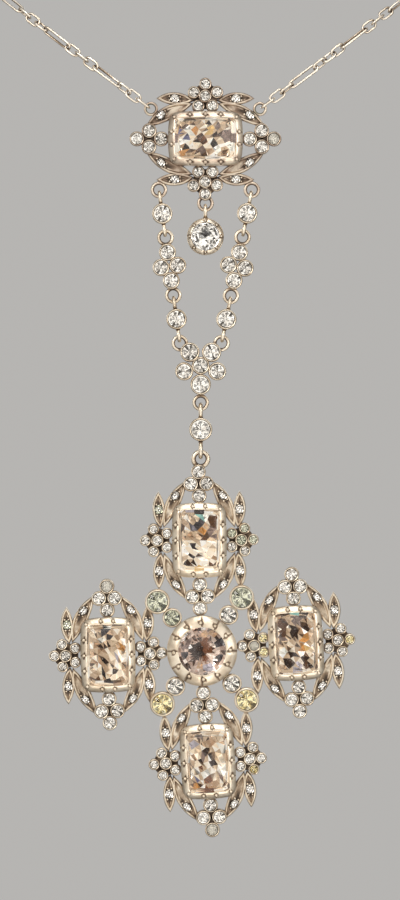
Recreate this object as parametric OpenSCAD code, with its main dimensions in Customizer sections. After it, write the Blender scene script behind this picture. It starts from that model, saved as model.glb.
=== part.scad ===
// Paste-set silver cross necklace: chain and clasp, plaque, drop, side strings, flower, link and cross.
// Millimetres, Z up, the front faces -Y, X is to the right as seen. The origin is where the clasp
// lies on the nape. Front views are drawn flat, x right, y up and z out of the front, and then stood up.

/* [Oblong stones] */
// Width of an oblong setting
oblong_w = 9.9; // [9.7:0.1:10.1]
// Length of an oblong setting
oblong_l = 13.5; // [13.3:0.1:13.7]
// Corner radius of an oblong setting
oblong_corner = 2.1; // [1.9:0.1:2.4]
// Height of an oblong setting
oblong_h = 3.7; // [3.4:0.1:4]
// Width of the sloping rim round a large stone
rim_w = 1.15; // [1:0.05:1.3]

/* [Small stones] */
// Setting diameter in the groups of four
group_d = 2.68; // [2.6:0.02:2.76]
// Half the distance between the side stones of a group
group_across = 1.42; // [1.4:0.01:1.46]
// Half the distance between the end stones of a group
group_along = 2.16; // [2.1:0.02:2.16]
// Height of the small settings
small_h = 2; // [1.8:0.1:2.2]
// Width of the rim round a small stone
small_rim = 0.24; // [0.22:0.01:0.26]

/* [Leaves] */
// Thickness of a leaf
leaf_h = 1.5; // [1.3:0.1:1.7]
// Width of the raised edge of a leaf
leaf_edge = 0.3; // [0.25:0.05:0.35]
// Depth of the hollow in a leaf
leaf_dip = 0.3; // [0.2:0.05:0.4]

/* [Cross] */
// Diameter of the round centre setting
centre_d = 12.6; // [12.5:0.1:12.7]
// Height of the round centre setting
centre_h = 4; // [3.7:0.1:4.3]
// Diameter of the inner setting on each diagonal
inner_d = 3.5; // [3.45:0.05:3.6]
// Diameter of the outer setting on each diagonal
outer_d = 4.5; // [4.4:0.05:4.6]
// Angle of the diagonals from level
diagonal = 50.5; // [50:0.5:51]
// How far the whole cross leans, anticlockwise as seen
cross_lean = 2.8; // [0:0.2:4]

/* [Plaque and strings] */
// Half the distance between the two rings under the plaque
string_x = 8.35; // [8.2:0.05:8.5]
// Depth of those rings below the plaque's middle
string_z = 9.15; // [9.1:0.05:9.2]
// From ring to ring across a link with one stone
single_pitch = 8.68; // [8.6:0.02:8.76]
// Diameter of the setting on a side link
single_d = 3.7; // [3.6:0.05:3.8]
// Diameter of the four settings of a side group
quad_d = 3.1; // [3.08:0.02:3.12]
// How far the flower hangs to the left of the plaque's middle
drift = 0.85; // [0.5:0.05:1]
// Diameter of the setting on the link over the cross
link_d = 4.2; // [4.1:0.05:4.3]
// Diameter of the setting on the drop
drop_d = 6.6; // [6.4:0.1:6.8]
// Wire of the rings
ring_wire = 0.66; // [0.62:0.02:0.7]
// Outer diameter of the rings
ring_d = 3.06; // [3:0.02:3.1]

/* [Chain] */
// Width of the whole loop
loop_w = 119.5; // [119.1:0.1:119.9]
// Depth of the whole loop from front to back
loop_d = 106; // [105.6:0.1:106.4]
// Climb of the chain where it leaves the plaque
climb = 37; // [36.6:0.1:37.4]
// Wire of the chain
chain_wire = 0.45; // [0.43:0.01:0.47]
// Length of a short link
short_l = 3.2; // [3.18:0.01:3.22]
// Length of a long link
long_l = 6.6; // [6.55:0.01:6.65]
// Turn from each link to the next on the right
right_turn = 78; // [69:3:90]
// Turn from each link to the next on the left
left_turn = 69; // [69:3:90]

/* [Hidden] */
FRAMES = ["plaque_frame", "cross_frame", "flower_frame", "link_frame", "drop_frame", "clasp"];
// Settings on the diagonals: name, side, up or down
DIAGONALS = [["ne", 1, 1], ["se", 1, -1], ["sw", -1, -1], ["nw", -1, 1]];
// The side strings: name, side
STRINGS = [["left", -1], ["right", 1]];
// Stones of a group on a side string: name, across, along, in setting radii
QUAD = [["top", 0, 1.69], ["outer", 1, 0], ["inner", -1, 0], ["bottom", 0, -1.69]];
// Settings of the flower: name, angle, distance, diameter
FLOWER = [
    ["heart", 0, 0, 3.2],
    ["upper_right", 51, 3.1, 3.5], ["upper_left", 129, 3.1, 3.5],
    ["right", -19, 3.15, 3.28], ["left", 199, 3.15, 3.28],
    ["low", -90, 3.4, 3.7]
];
// Arms of the cross: name, place and turn of the cluster, which is set by hand and a little out of true
ARMS = [
    ["north", [0.48, 19.87], -2.3], ["east", [16.9, 0.57], 0.7],
    ["south", [0.07, -19.87], 0.7], ["west", [-16.91, 0.1], -1.4]
];

silver = "wheat";
clear_glass = "aliceblue";
champagne = "bisque";
citrine = "khaki";

// Solder overlap between settings that touch, and the play between pieces that hang in each other
solder = 0.06;
play = 0.12;
// Gap between a stone and its setting
slack = 0.04;
// Floor under a stone
floor_h = 0.35;
// A lip covers the edge of the stone: its thickness, and the groove under it
lip_h = 0.12;
groove_top = 0.22;
groove_low = 0.55;
// Share of the rim that the groove takes, its greatest depth, and the share of the stone's radius at the floor
undercut = 0.5;
deepest = 0.4;
foot = 0.35;
// Share of the stone's radius in its flat table
table = 0.58;
// Height of the table over the setting: a fixed part, and a share of the setting's diameter
gem_up = 0.08;
gem_dome = 0.04;
// Height of the middle of the rings and loops above the back
ring_h = 1.1;
// Loops seen edge-on
loop_wire = 0.72;
loop_od = 2.62;

// Flower of six on an oblong cluster: distance of the heart, of the petals from it, petal, heart
ARM_FLOWER = [7.56, 2.1, 2.05, 2.27];
PLAQUE_FLOWER = [7.7, 2.18, 2.28, 2.36];
group_y = oblong_l / 2 + group_d / 2 + group_along - 2 * solder;
// Extra height of the heart of such a flower
heart_up = 0.2;

// Seats of the small stones of a cluster: x, y, diameter, extra height
function group_seats() = [
    for (end = [-1, 1])
        for (s = [[0, -group_along], [0, group_along], [-group_across, 0], [group_across, 0]])
            [s.x, end * group_y + s.y, group_d, 0]
];
function flower_seats(flower) = [
    for (side = [-1, 1])
        for (k = [-1:4])
            k < 0
                ? [side * flower[0], 0, flower[3], heart_up]
                : [side * (flower[0] + flower[1] * cos(72 * k)), flower[1] * sin(72 * k), flower[2], 0]
];
function cluster_seats(flower) = concat(group_seats(), flower_seats(flower));

// Distances on the diagonals follow from what touches what
inner_r = (centre_d + inner_d) / 2 - solder;
outer_r = inner_r + (inner_d + outer_d) / 2 - solder;
module on_arm(arm) { translate(arm[1]) rotate(arm[2]) children(); }
function diagonal_place(row, r) = [row[1] * r * cos(diagonal), row[2] * r * sin(diagonal)];
// The cross's ring stands off the middle line, so that the cross leans, and is soldered to the topmost setting
hang_wire = 0.9;
hang_d = 3.5;
hang_at = [1.43, 34.39];
top_turn = ARMS[0][2];
top_cup = ARMS[0][1] + (group_y + group_along) * [-sin(top_turn), cos(top_turn)];

// Rings and loops: how far a hanging loop's middle lies below the middle of the ring it hangs in
function drop_below(ring, wire, loop, low_wire) =
    (ring - wire) / 2 + (loop - low_wire) / 2 - (wire + low_wire) / 2 - play;

// The path of the right half of the chain in plan is part of an ellipse, from the plaque's ring to the clasp
half_w = loop_w / 2;
half_d = loop_d / 2;
chain_ring_x = 9.8;
chain_ring_z = 5.4;
chain_ring_d = 2.6;
chain_ring_wire = 0.54;
clasp_d = 5.6;
clasp_wire = 0.86;
links = 61;
short_w = 2;
long_w = 1.8;
function link_l(i) = i % 4 == 3 ? long_l : short_l;
function link_w(i) = i % 4 == 3 ? long_w : short_w;
function slope(phi) = climb * cos(phi / 2);
function speed(phi) = norm([half_w * cos(phi), half_d * sin(phi)]);
function turn_by(phi, d, k) = k * d * cos(slope(phi)) / speed(phi) * 180 / PI;
// One step along the path: angle and height of each link's middle
function march(i, phi, z, k) = i == links
    ? []
    : let (
        d = (link_l(i) + link_l(i + 1)) / 2 - 2 * chain_wire - play,
        mid = phi + turn_by(phi, d / 2, k)
    ) concat([[phi, z]], march(i + 1, phi + turn_by(mid, d, k), z + k * d * sin(slope(mid)), k));
// The first link hooks the ring on the side where the chain leaves it, the last one the clasp
ring_out = (chain_ring_d - chain_ring_wire) / 2;
first_in = (short_l - chain_wire) / 2 - (chain_ring_wire + chain_wire) / 2 - play;
start_phi = asin((chain_ring_x + (ring_out + first_in) * cos(climb)) / half_w);
clasp_out = (clasp_d - clasp_wire) / 2;
last_in = (link_l(links - 1) - chain_wire) / 2 - (clasp_wire + chain_wire) / 2 - play;
end_phi = 180 - asin((clasp_out + last_in) / half_w);
free_run = march(0, start_phi, 0, 1);
stretch = (end_phi - start_phi) / (free_run[links - 1][0] - start_phi);
run = march(0, start_phi, 0, stretch);
nape_rise = run[links - 1][1];
function path_at(i) = let (phi = run[i][0])
    [half_w * sin(phi), clasp_wire / 2 - half_d * (1 + cos(phi)), run[i][1] - nape_rise];
function heading(phi) = atan2(half_d * sin(phi), half_w * cos(phi));

// Where the flat front views stand: the chain's ring is on the path
front_y = path_at(0).y + ring_h;
plaque_z = path_at(0).z - (ring_out + first_in) * sin(climb) - chain_ring_z;
// The flower: depth below the plaque, its upper rings and its lowest ring
flower_z = -40.75;
flower_ring = [3.76, 4.05];
flower_low = -6.65;
string_l = norm([string_x - flower_ring.x, flower_z + flower_ring.y + string_z]);

module stand(x = 0, z = 0) {
    translate([x, front_y, plaque_z + z]) rotate([90, 0, 0]) children();
}

module flat_ring(d, wire) {
    translate([0, 0, ring_h]) rotate_extrude($fn = 48)
        translate([(d - wire) / 2, 0]) circle(d = wire, $fn = 24);
}

module edge_ring(d, wire) {
    translate([0, 0, ring_h]) rotate([0, 90, 0]) rotate_extrude($fn = 48)
        translate([(d - wire) / 2, 0]) circle(d = wire, $fn = 24);
}

// Radius of the groove that holds the stone
function groove_r(d, rim) = d / 2 - rim + min(rim * undercut, deepest);

// Closed cup with a lip over the edge of the stone. A bevelled one slopes up to a narrow flat
module cup(d, h, rim, bevel = 0) {
    seat = d / 2 - rim;
    wall = groove_r(d, rim);
    rotate_extrude($fn = 64)
        polygon([
            [0, 0], [d / 2, 0], [d / 2, h - bevel], [seat + (bevel > 0 ? rim_flat : rim), h],
            [seat, h], [seat, h - lip_h], [wall, h - groove_top], [wall, h - groove_low],
            [wall * foot, floor_h], [0, floor_h]
        ]);
}

// The inside of a cup, as cut out of whatever is soldered to its wall
module cup_core(at, d, rim) {
    translate([at.x, at.y, -1]) cylinder(d = d - rim / 2, h = small_h + 2, $fn = 48);
}

// Flat ring soldered to the wall of a cup
module soldered_ring(at, d, wire, cup_at, cup_d, rim) {
    difference() {
        translate(at) flat_ring(d, wire);
        cup_core(cup_at, cup_d, rim);
    }
}

// Faces of a stack of rings of n points each. Below the first ring is a flat, or a point if there is one
function stack_faces(n, rings, point) = concat(
    [[for (k = [0:n - 1]) point + (rings - 1) * n + (n - 1 - k)]],
    point > 0 ? [for (k = [0:n - 1]) [0, 1 + k, 1 + (k + 1) % n]] : [[for (k = [0:n - 1]) k]],
    [for (r = [0:rings - 2]) for (k = [0:n - 1])
        let (a = point + r * n, b = a + n, next = (k + 1) % n) [a + k, b + k, b + next, a + next]]
);

// Round stone with a flat table: its widest part is level with the underside of the rim
module round_gem(d, h, rim, n = 8) {
    r = groove_r(d, rim) - slack;
    girdle = [for (z = [h - groove_low + slack, h - groove_top - 2 * slack]) for (k = [0:n - 1])
        [r * cos(360 * k / n), r * sin(360 * k / n), z]];
    top = [for (k = [0:n - 1]) let (a = 360 * (k + 0.5) / n)
        [table * r * cos(a), table * r * sin(a), h + gem_up + gem_dome * d]];
    crown = [for (k = [0:n - 1]) let (a = 1 + n + k, b = 1 + n + (k + 1) % n, c = 1 + 2 * n + k)
        each [[a, c, b], [b, c, 1 + 2 * n + (k + 1) % n]]];
    body = stack_faces(n, 2, 1);
    polyhedron(
        concat([[0, 0, floor_h + slack]], girdle, top),
        concat([for (f = body) if (f != body[0]) f], crown, [[for (k = [0:n - 1]) 3 * n - k]])
    );
}

// Outline of an oblong setting, drawn in by inset, at height z: each corner has four points
CORNERS = [[1, 1], [-1, 1], [-1, -1], [1, -1]];
least_corner = 0.4;
function oblong_ring(inset, z) = let (
    r = max(oblong_corner - inset, least_corner),
    x = oblong_w / 2 - inset - r,
    y = oblong_l / 2 - inset - r
) [
    for (n = [0:3])
        for (k = [0:3])
            let (a = 90 * n + 30 * k)
                [CORNERS[n].x * x + r * cos(a), CORNERS[n].y * y + r * sin(a), z]
];

// Insets from the outline: the groove for the stone, the edge of its table, its foot and the pit's foot
groove_inset = 0.55 * rim_w;
table_inset = 2.45;
gem_foot = 3.2;
pit_foot = 2.6;
// Depths below the top: the rim's outer edge, the lip, the groove and the stone's girdle
rim_drop = 0.8;
rim_flat = 0.25;
lip_drop = 0.15;
pit_groove = [0.5, 1];
gem_girdle = [0.75, 0.95];
table_up = 0.3;

module oblong_setting() {
    rings = [
        oblong_ring(0, 0), oblong_ring(0, oblong_h - rim_drop), oblong_ring(rim_w - rim_flat, oblong_h),
        oblong_ring(rim_w, oblong_h), oblong_ring(rim_w, oblong_h - lip_drop),
        oblong_ring(groove_inset, oblong_h - pit_groove[0]),
        oblong_ring(groove_inset, oblong_h - pit_groove[1]), oblong_ring(pit_foot, floor_h)
    ];
    polyhedron([for (r = rings) each r], stack_faces(16, len(rings), 0));
}

module oblong_gem() {
    girdle = groove_inset + slack * 2;
    rings = [
        oblong_ring(gem_foot, floor_h + 3 * slack), oblong_ring(girdle, oblong_h - gem_girdle[1]),
        oblong_ring(girdle, oblong_h - gem_girdle[0]), oblong_ring(rim_w + 0.5, oblong_h),
        oblong_ring(table_inset, oblong_h + table_up)
    ];
    polyhedron([for (r = rings) each r], stack_faces(16, len(rings), 0));
}

// Leaf between two tips: bulge to its left and to its right of the straight line from a to b
module leaf_outline(a, b, left, right, inset = 0) {
    long = norm(b - a);
    r_left = (pow(long / 2, 2) + pow(left, 2)) / (2 * left);
    r_right = (pow(long / 2, 2) + pow(right, 2)) / (2 * right);
    translate(a) rotate(atan2(b.y - a.y, b.x - a.x)) intersection() {
        translate([long / 2, left - r_left]) circle(r_left - inset, $fn = 96);
        translate([long / 2, r_right - right]) circle(r_right - inset, $fn = 96);
    }
}

// Leaves of a quarter of a cluster: two tips, bulge to the left and to the right, place of the stone
LEAVES = [
    [[6.9, 2.1], [7.3, 8.8], 0.95, 1.3, [7.25, 5.5]],
    [[2.15, 10.75], [6.4, 2.25], 1.7, 0.8, [4.3, 8]]
];
// Plates behind the flowers and the groups: thickness, and their radius over that of the circle of petals
plate_h = 0.3;
plate_more = 0.35;
group_plate = 1.3;
seat_d = 1.24;
seat_depth = 0.9;

module leaf(row) {
    difference() {
        linear_extrude(leaf_h) leaf_outline(row[0], row[1], row[2], row[3]);
        translate([0, 0, leaf_h - leaf_dip])
            linear_extrude(leaf_dip + 1) leaf_outline(row[0], row[1], row[2], row[3], leaf_edge);
        translate([row[4].x, row[4].y, leaf_h - seat_depth]) cylinder(d = seat_d, h = seat_depth + 1, $fn = 32);
        cup_core([group_across, group_y], group_d, small_rim);
    }
}

// One cluster, its long axis along y
module cluster(flower) {
    oblong_setting();
    for (s = cluster_seats(flower)) translate([s.x, s.y, 0]) cup(s[2], small_h + s[3], small_rim);
    for (side = [-1, 1]) {
        translate([side * flower[0], 0, 0]) cylinder(r = flower[1] + plate_more, h = plate_h, $fn = 48);
        translate([0, side * group_y, 0]) cylinder(r = group_plate, h = plate_h, $fn = 48);
    }
    for (sx = [0, 1]) mirror([sx, 0, 0]) for (sy = [0, 1]) mirror([0, sy, 0])
        for (row = LEAVES) leaf(row);
}

module cluster_stones(flower) {
    for (s = cluster_seats(flower)) translate([s.x, s.y, 0]) round_gem(s[2], small_h + s[3], small_rim);
}

module plaque_frame() {
    color(silver) stand() {
        rotate(90) cluster(PLAQUE_FLOWER);
        for (side = [-1, 1]) {
            translate([side * chain_ring_x, chain_ring_z, 0]) flat_ring(chain_ring_d, chain_ring_wire);
            translate([side * string_x, -string_z, 0]) flat_ring(ring_d, ring_wire);
        }
        low_petal = [0, -PLAQUE_FLOWER[0] - PLAQUE_FLOWER[1]];
        soldered_ring([0, drop_ring_y(), 0], ring_d, ring_wire, low_petal, PLAQUE_FLOWER[2], small_rim);
    }
}

// The drop's ring stands on the lowest petal
ring_on_petal = 0.95;
function drop_ring_y() = ring_on_petal - PLAQUE_FLOWER[0] - PLAQUE_FLOWER[1] - (PLAQUE_FLOWER[2] + ring_d) / 2;

module plaque_stone() { color(champagne) stand() rotate(90) oblong_gem(); }
module plaque_stones() { color(clear_glass) stand() rotate(90) cluster_stones(PLAQUE_FLOWER); }

// From the middle of a setting to the middle of a loop soldered to its side
loop_in = 0.22;
function reach(d, loop) = (d + loop) / 2 - loop_in;

// Rims of the round settings, by size, and the heights of the settings
single_rim = 0.3;
quad_rim = 0.26;
petal_rim = 0.28;
outer_rim = 0.34;
drop_rim = 0.75;
centre_rim = 2;
single_h = 2.3;
petal_h = 2.2;
link_h = 2.5;
outer_h = 2.6;
drop_h = 3.4;

// A setting that hangs by an edge-on loop, with a second loop below it
module hung_cup(d, h, wire, loop, low_loop) {
    cup(d, h, single_rim);
    translate([0, reach(d, loop), 0]) edge_ring(loop, wire);
    translate([0, -reach(d, low_loop), 0]) edge_ring(low_loop, wire);
}

// A place on a side string, given as a distance from the plaque's ring
module on_string(side, along) {
    top = [side * string_x, -string_z];
    low = [side * flower_ring.x - drift, flower_z + flower_ring.y];
    go = (low - top) / norm(low - top);
    at = top + go * (along * norm(low - top));
    stand(at.x, at.y) rotate(atan2(go.x, -go.y)) children();
}
group_pitch = string_l - 2 * single_pitch;
upper_at = single_pitch / 2 / string_l;
lower_at = 1 - upper_at;

module side_link(side, along) {
    color(silver) on_string(side, along) hung_cup(single_d, single_h, loop_wire, loop_od, loop_od);
}
module side_stone(side, along) {
    color(clear_glass) on_string(side, along) round_gem(single_d, single_h, single_rim, 12);
}

function quad_at(side, q) = [side * q[1], q[2], 0] * (quad_d - solder) / 2;

module side_group(side) {
    color(silver) on_string(side, 0.5) {
        for (q = QUAD) translate(quad_at(side, q)) cup(quad_d, small_h, quad_rim);
        for (s = [-1, 1]) translate([0, s * group_pitch / 2, 0]) flat_ring(ring_d, ring_wire);
    }
}

module group_stone(side, q) {
    color(clear_glass) on_string(side, 0.5) translate(quad_at(side, q))
        round_gem(quad_d, small_h, quad_rim, 12);
}

module flower_frame() {
    color(silver) stand(-drift, flower_z) {
        for (f = FLOWER) translate(f[2] * [cos(f[1]), sin(f[1])]) cup(f[3], petal_h, petal_rim);
        petal = FLOWER[1];
        for (s = [-1, 1]) soldered_ring(
            [s * flower_ring.x, flower_ring.y, 0], ring_d, ring_wire,
            petal[2] * [s * cos(petal[1]), sin(petal[1])], petal[3], petal_rim
        );
        translate([0, flower_low, 0]) flat_ring(ring_d, ring_wire);
    }
}

module petal_stone(f) {
    color(clear_glass) stand(-drift, flower_z)
        translate(f[2] * [cos(f[1]), sin(f[1])]) round_gem(f[3], petal_h, petal_rim, 12);
}

// The link hangs in the flower's lowest ring and holds the cross's ring
link_wire = 0.8;
link_loop = 3;
link_low = 3.5;
link_z = flower_z + flower_low - drop_below(ring_d, ring_wire, link_loop, link_wire) - reach(link_d, link_loop);
cross_hang_z = link_z - reach(link_d, link_low) - drop_below(hang_d, hang_wire, link_low, link_wire);

module link_frame() {
    color(silver) stand(-drift, link_z) hung_cup(link_d, link_h, link_wire, link_loop, link_low);
}
module link_stone() { color(clear_glass) stand(-drift, link_z) round_gem(link_d, link_h, single_rim, 12); }

drop_loop = 2.9;
drop_z = drop_ring_y() - drop_below(ring_d, ring_wire, drop_loop, loop_wire) - reach(drop_d, drop_loop);
module drop_frame() {
    color(silver) stand(0, drop_z) {
        cup(drop_d, drop_h, drop_rim, 0.5);
        translate([0, reach(drop_d, drop_loop), 0]) edge_ring(drop_loop, loop_wire);
    }
}
module drop_stone() { color(clear_glass) stand(0, drop_z) round_gem(drop_d, drop_h, drop_rim, 16); }

// The cross leans about the middle of its ring
module in_cross() {
    stand(-drift, cross_hang_z) rotate(cross_lean) translate([-hang_at.x, -hang_at.y, 0]) children();
}

module cross_frame() {
    color(silver) in_cross() {
        difference() {
            for (a = ARMS) on_arm(a) cluster(ARM_FLOWER);
            for (d = DIAGONALS) cup_core(diagonal_place(d, outer_r), outer_d, outer_rim);
        }
        cup(centre_d, centre_h, centre_rim, 1);
        for (d = DIAGONALS) {
            translate(diagonal_place(d, inner_r)) cup(inner_d, petal_h, single_rim);
            translate(diagonal_place(d, outer_r)) cup(outer_d, outer_h, outer_rim);
        }
        soldered_ring([hang_at.x, hang_at.y, 0], hang_d, hang_wire, top_cup, group_d, small_rim);
    }
}

module arm_stone(arm) { color(champagne) in_cross() on_arm(arm) oblong_gem(); }
module arm_stones(arm) { color(clear_glass) in_cross() on_arm(arm) cluster_stones(ARM_FLOWER); }
module centre_stone() { color(champagne) in_cross() round_gem(centre_d, centre_h, centre_rim, 16); }
module inner_stone(d) {
    color(clear_glass) in_cross() translate(diagonal_place(d, inner_r))
        round_gem(inner_d, petal_h, single_rim, 12);
}
module outer_stone(d) {
    color(citrine) in_cross() translate(diagonal_place(d, outer_r))
        round_gem(outer_d, outer_h, outer_rim, 12);
}

// One chain link, its length along x and flat in the xy plane
module chain_link(l, w) {
    r = (w - chain_wire) / 2;
    straight = l - w;
    for (k = [0, 1]) rotate(180 * k) {
        translate([straight / 2, 0, 0]) rotate(-90) rotate_extrude(angle = 180, $fn = 40)
            translate([r, 0]) circle(d = chain_wire, $fn = 16);
        translate([0, r, 0]) rotate([0, 90, 0]) cylinder(d = chain_wire, h = straight, center = true, $fn = 16);
    }
}

module half_chain(turn) {
    for (i = [0:links - 1])
        translate(path_at(i)) rotate([turn * i, -slope(run[i][0]), heading(run[i][0])])
            chain_link(link_l(i), link_w(i));
}

module right_chain() { color(silver) half_chain(right_turn); }
module left_chain() { color(silver) mirror([1, 0, 0]) half_chain(left_turn); }

module clasp() {
    color(silver) translate([0, clasp_wire / 2, 0]) rotate([90, 0, 0]) rotate_extrude($fn = 64)
        translate([clasp_out, 0]) circle(d = clasp_wire, $fn = 32);
}

plaque_frame();
plaque_stone();
plaque_stones();
cross_frame();
centre_stone();
flower_frame();
link_frame();
link_stone();
drop_frame();
drop_stone();
left_chain();
right_chain();
clasp();
for (a = ARMS) {
    arm_stone(a);
    arm_stones(a);
}
for (d = DIAGONALS) {
    inner_stone(d);
    outer_stone(d);
}
for (s = STRINGS) {
    side_link(s[1], upper_at);
    side_link(s[1], lower_at);
    side_stone(s[1], upper_at);
    side_stone(s[1], lower_at);
    side_group(s[1]);
    for (q = QUAD) group_stone(s[1], q);
}
for (f = FLOWER) petal_stone(f);
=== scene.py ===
# Paste-set silver cross necklace: the looks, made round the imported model.
# Every piece is drawn in millimetres as the front shows it, x right, y up and z out of the front,
# and is then stood up in its place in metres.

import bpy
import bmesh
import math
import random
from functools import cache
from mathutils import Matrix, Vector, noise
from mathutils.bvhtree import BVHTree


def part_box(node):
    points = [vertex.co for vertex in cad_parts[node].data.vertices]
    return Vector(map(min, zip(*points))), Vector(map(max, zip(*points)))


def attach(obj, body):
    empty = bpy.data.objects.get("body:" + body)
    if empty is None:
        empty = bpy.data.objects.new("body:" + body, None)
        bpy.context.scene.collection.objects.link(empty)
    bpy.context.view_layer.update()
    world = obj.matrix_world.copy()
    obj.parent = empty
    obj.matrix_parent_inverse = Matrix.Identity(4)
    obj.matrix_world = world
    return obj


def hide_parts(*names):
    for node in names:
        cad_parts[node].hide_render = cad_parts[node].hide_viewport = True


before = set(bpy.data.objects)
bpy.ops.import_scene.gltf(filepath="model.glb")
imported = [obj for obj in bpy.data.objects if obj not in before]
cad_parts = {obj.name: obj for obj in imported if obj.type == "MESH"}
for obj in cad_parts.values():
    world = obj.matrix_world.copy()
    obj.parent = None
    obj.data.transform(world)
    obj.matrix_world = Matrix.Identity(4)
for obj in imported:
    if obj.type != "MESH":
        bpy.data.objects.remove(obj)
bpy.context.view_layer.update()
print("frame loaded")

millimetre = 0.001
rightAngle = math.radians(90)


# Places

def nodeMiddle(name):
    low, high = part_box(name)
    return (low + high) / 2


def standUp(x, z, turn=0.0):
    # flat front view -> the world, with the back of the piece on the back plane of the plaque
    return (
        Matrix.Translation((x, backPlane, z))
        @ Matrix.Rotation(rightAngle, 4, "X")
        @ Matrix.Rotation(turn, 4, "Z")
        @ Matrix.Scale(millimetre, 4)
    )


def at(x, y, z=0.0, turn=0.0):
    return Matrix.Translation((x, y, z)) @ Matrix.Rotation(turn, 4, "Z")


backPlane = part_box("plaque_frame")[1].y
plaqueMiddle = nodeMiddle("plaque_stone")
crossMiddle = nodeMiddle("centre_stone")
crossLean = math.radians(2.8)


# Shader maths

class Signal:
    # the output of a node, which takes part in sums
    def __init__(self, shader, socket):
        self.shader, self.socket = shader, socket

    def sum(self, operation, first, second):
        return self.shader.add("ShaderNodeMath", {"operation": operation}, {0: first, 1: second})

    def __add__(self, other):
        return self.sum("ADD", self, other)

    def __sub__(self, other):
        return self.sum("SUBTRACT", self, other)

    def __rsub__(self, other):
        return self.sum("SUBTRACT", other, self)

    def __mul__(self, other):
        return self.sum("MULTIPLY", self, other)


class Shader:
    def __init__(self, name, forWorld=False):
        self.owner = (bpy.data.worlds if forWorld else bpy.data.materials).new(name)
        self.owner.use_nodes = True
        self.tree = self.owner.node_tree
        self.tree.nodes.clear()
        self.place = self.add("ShaderNodeTexCoord", output="Generated" if forWorld else "Object")

    def add(self, kind, settings=None, inputs=None, output=0):
        node = self.tree.nodes.new(kind)
        for key, value in (settings or {}).items():
            if key == "stops":
                for number, (position, colour) in enumerate(value):
                    ramp = node.color_ramp.elements
                    element = ramp[number] if number < 2 else ramp.new(position)
                    element.position, element.color = position, (*colour, 1)
            else:
                setattr(node, key, value)
        for key, value in (inputs or {}).items():
            if isinstance(value, Signal):
                self.tree.links.new(value.socket, node.inputs[key])
            else:
                node.inputs[key].default_value = value
        return None if output is None else Signal(self, node.outputs[output])

    def noise(self, scale, detail=3.0, roughness=0.55):
        settings = {"Vector": self.place, "Scale": scale, "Detail": detail, "Roughness": roughness}
        return self.add("ShaderNodeTexNoise", {}, settings, "Fac")

    def attribute(self, name, output="Fac"):
        return self.add("ShaderNodeAttribute", {"attribute_name": name}, {}, output)

    def ease(self, value, low, high):
        # 0 below low, 1 above high, smooth between
        inputs = {"Value": value, "From Min": low, "From Max": high}
        return self.add("ShaderNodeMapRange", {"interpolation_type": "SMOOTHSTEP"}, inputs)

    def mix(self, share, first, second, blend="MIX"):
        colours = [(*c, 1) if isinstance(c, tuple) else c for c in (first, second)]
        inputs = {"Factor": share, 6: colours[0], 7: colours[1]}
        return self.add("ShaderNodeMix", {"data_type": "RGBA", "blend_type": blend}, inputs, 2)

    def finish(self, values):
        surface = self.add("ShaderNodeBsdfPrincipled", {}, values)
        self.add("ShaderNodeOutputMaterial", {}, {"Surface": surface}, None)
        return self.owner


oldSilver = {
    "bright": (0.98, 0.87, 0.71),
    "warm": (0.78, 0.65, 0.49),
    "brown": (0.37, 0.27, 0.185),
    # the darkest colour, for tarnish and for painted shade in deep hollows
    "tarnishAndShade": (0.08, 0.055, 0.038),
    "patina": (0.16, 0.20, 0.13),
    "roughness": 0.31,
    "cloudScale": 420,
    "scratchScale": 3400,
    "relief": 0.8,
    "bumpDepth": 0.00006,
    # grime and painted shade: shares of recess, cloud and scratch, where the recess share paints shade and
    # tarnish into hollows; an edge says where a tone begins and where it is full
    "grime": (1.1, 0.6, 0.3),
    "warmEdge": (0.38, 0.66), "brownEdge": (0.14, 0.48), "tarnishAndShadeEdge": (0.36, 0.86),
    "spotEdge": (0.0004, 0.0016), "spotRecess": (0.15, 0.5), "spotShare": 0.7,
}
drawnWire = dict(
    oldSilver, bright=(0.98, 0.90, 0.78), warm=(0.88, 0.77, 0.63), roughness=0.30, relief=0.04,
    scratchScale=900,
)
plaqueSilver = dict(oldSilver, bright=(0.84, 0.73, 0.59), warm=(0.60, 0.47, 0.37), brown=(0.30, 0.21, 0.15))


def silverMaterial(name, look, patinaSpots=()):
    shader = Shader(name)
    recess = shader.attribute("recess")
    cloud = shader.noise(look["cloudScale"])
    scratch = shader.noise(look["scratchScale"], 4, 0.7)
    shares = look["grime"]
    # the recess share paints shade and tarnish, the cloud and scratch shares are random grime; the brown and
    # the darkest colour follow this mix
    grime = recess * shares[0] + (cloud - 0.5) * shares[1] + (scratch - 0.5) * shares[2]
    tarnishAndShadeShare = shader.ease(grime, *look["tarnishAndShadeEdge"])
    colour = shader.mix(shader.ease(cloud, *look["warmEdge"]), look["bright"], look["warm"])
    colour = shader.mix(shader.ease(grime, *look["brownEdge"]), colour, look["brown"])
    colour = shader.mix(tarnishAndShadeShare, colour, look["tarnishAndShade"])
    for spot in patinaSpots:
        ends = {0: shader.place, 1: spot}
        away = shader.add("ShaderNodeVectorMath", {"operation": "DISTANCE"}, ends, "Value")
        green = (1 - shader.ease(away, *look["spotEdge"])) * shader.ease(recess, *look["spotRecess"])
        colour = shader.mix(green * look["spotShare"], colour, look["patina"])
    relief = {"Height": scratch * 0.35 + cloud, "Distance": look["bumpDepth"], "Strength": look["relief"]}
    return shader.finish({
        "Base Color": colour,
        "Metallic": 0.9 - tarnishAndShadeShare * 0.6,
        "Roughness": tarnishAndShadeShare * 0.35 + scratch * 0.22 + (look["roughness"] - 0.1),
        "Normal": shader.add("ShaderNodeBump", {}, relief, "Normal"),
    })


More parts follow.
